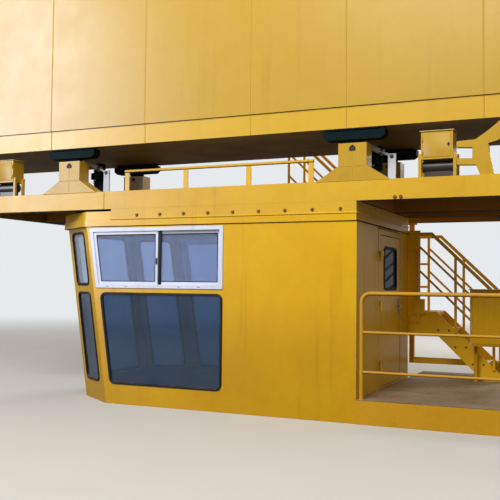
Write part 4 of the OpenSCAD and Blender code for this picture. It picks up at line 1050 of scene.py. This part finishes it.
def chequer_tears():
    """The raised tears of the platform's plate, the treads, the landing and the deck."""
    piece("platform_tears", tears_on(0.01, 1.795, 0.005, 3.095, PLATFORM_TOP, 0.038, 0.72),
          "platform_paint", "plate_paint", sharp=20)
    forms = []
    for x, height in STEP_SPOTS:
        forms += tears_on(x - 0.112, x + 0.112, *TREAD_WIDTH, height, 0.037, 0.72)
    forms += tears_on(-0.312, 0.335, *TREAD_WIDTH, LANDING_TOP, 0.037, 0.72)
    piece("tread_tears", forms, "stair_paint", sharp=20)
    forms = []
    left, right = -5.195, 1.595
    for area in [(left, right, 0.185, 2.245), (left, -1.74, 2.255, 2.915), (1.065, right, 2.255, 2.915)]:
        forms += tears_on(*area, DECK_TOP, 0.058, 0.7)
    piece("deck_tears", forms, "deck_paint", sharp=20)


def tread_bolts():
    """Two bolts that hold each tread, on the stringers' outer faces."""
    bolt = hex_bolt(0.019, 0.008, 0.013)
    xs, zs = np.array([(x + shift, z - 0.024) for x, z in STEP_SPOTS for shift in (-0.065, 0.065)]).T
    forms = [placed(bolt, at(xs, face, zs), out) for face, out in STAIR_SIDES]
    piece("tread_bolts", forms, "steel", "dark_bolt")


dress_nodes()
collar_bolts()
beam_clips()
roof_moulding()
wall_shade_bead()
girder_welds()
frame_welds()
hanger_fittings()
crosshead_welds()
push_fittings()
motor_fittings()
cabinet_fittings()
highlight_strips()
gasket_strips()
side_window_fittings()
door_fittings()
rail_welds()
chequer_tears()
tread_bolts()


# Stage

CAMERA_SPOT = (4.167, -9.348, 1.384)
CAMERA_YAW, CAMERA_PITCH, CAMERA_ROLL = (math.radians(a) for a in (24.457, 2.485, 0.617))
LENS, SENSOR = 57.6, 36.0
BACKGROUND = (0.80, 0.82, 0.84, 1.0)
SURROUNDINGS = (0.90, 0.80, 0.66, 1.0)


def place_camera():
    """A camera at the photograph's spot: yaw to the left of +y, pitch up, then roll about its own axis."""
    data = bpy.data.cameras.new("camera")
    data.lens, data.sensor_width = LENS, SENSOR
    camera = new_object("camera", data)
    level = Matrix.Rotation(CAMERA_YAW, 4, "Z") @ Matrix.Rotation(math.pi / 2 + CAMERA_PITCH, 4, "X")
    turn = level @ Matrix.Rotation(CAMERA_ROLL, 4, "Z")
    camera.matrix_world = Matrix.Translation(CAMERA_SPOT) @ turn
    bpy.context.scene.camera = camera


def soft_box(name, spot, target, size, power, colour, gloss_only=False):
    """A soft light that faces a target, and that may show in gloss alone, as haze on the paint does."""
    data = bpy.data.lights.new(name, "AREA")
    data.shape, data.size, data.size_y = "RECTANGLE", size[0], size[1]
    data.energy, data.color = power, colour
    lamp = new_object(name, data)
    lamp.visible_diffuse = not gloss_only
    turn = facing(np.array(spot) - np.array(target))
    lamp.matrix_world = Matrix.Translation(spot) @ Matrix(turn.tolist()).to_4x4()


def seen_ray(tree):
    """1 for rays that show the background, from the camera or through glass, and less by way of gloss."""
    path = node(tree, "LightPath")
    seen = maths(tree, "MAXIMUM", path["Is Camera Ray"], product(tree, path["Is Glossy Ray"], 0.36))
    return maths(tree, "MAXIMUM", seen, path["Is Transmission Ray"])


def light_world(ambient):
    """A pale world: full strength where it is seen, and warmer, at a plain soft level, where it lights."""
    world = bpy.data.worlds.new("world")
    bpy.context.scene.world = world
    world.use_nodes = True
    tree = world.node_tree
    seen = seen_ray(tree)
    strength = total(tree, product(tree, seen, 1 - ambient), ambient)
    colour = mixed(tree, seen, SURROUNDINGS, BACKGROUND)
    filled(tree, tree.nodes["Background"], {"Color": colour, "Strength": strength})


def lay_floor():
    """A wide pale floor that keeps the object's shadow and fades into the background."""
    bpy.ops.mesh.primitive_circle_add(vertices=96, radius=60.0, fill_type="NGON", location=(0, 0, -0.001))
    floor = bpy.context.object
    floor.name = "floor"
    made, tree, shader = material("floor_plain")
    pale = mixed(tree, seen_ray(tree), srgb(96, 92, 86), srgb(214, 214, 212))
    grain = product(tree, noise(tree, 1.2, 4.0), 0.12)
    filled(tree, shader, {"Base Color": mixed(tree, grain, pale, srgb(150, 148, 144)), "Roughness": 0.9})
    away = vectors(tree, "LENGTH", object_place(tree))["Value"]
    fade = ramp(tree, away, 7.0, 26.0)
    see_through = node(tree, "BsdfTransparent")[0]
    cover = node(tree, "MixShader", {0: fade, 1: shader.outputs[0], 2: see_through})[0]
    filled(tree, tree.nodes["Material Output"], {"Surface": cover})
    floor.data.materials.append(made)


place_camera()
light_world(ambient=0.34)
soft_box("key_box", (0.5, -14.0, 12.0), (-0.5, -1.5, 2.2), (8.0, 8.0), 2450.0, (1.0, 0.985, 0.95))
soft_box("wash_box", (-10.1, -10.5, 5.8), (-2.6, -1.5, 3.0), (3.2, 8.5), 2950.0, (0.78, 0.86, 1.0),
         gloss_only=True)
soft_box("back_box", (3.0, 13.0, 8.0), (0.0, 0.0, 2.5), (6.0, 6.0), 900.0, (1.0, 0.98, 0.95))
lay_floor()
bpy.context.scene.view_settings.view_transform = "Standard"
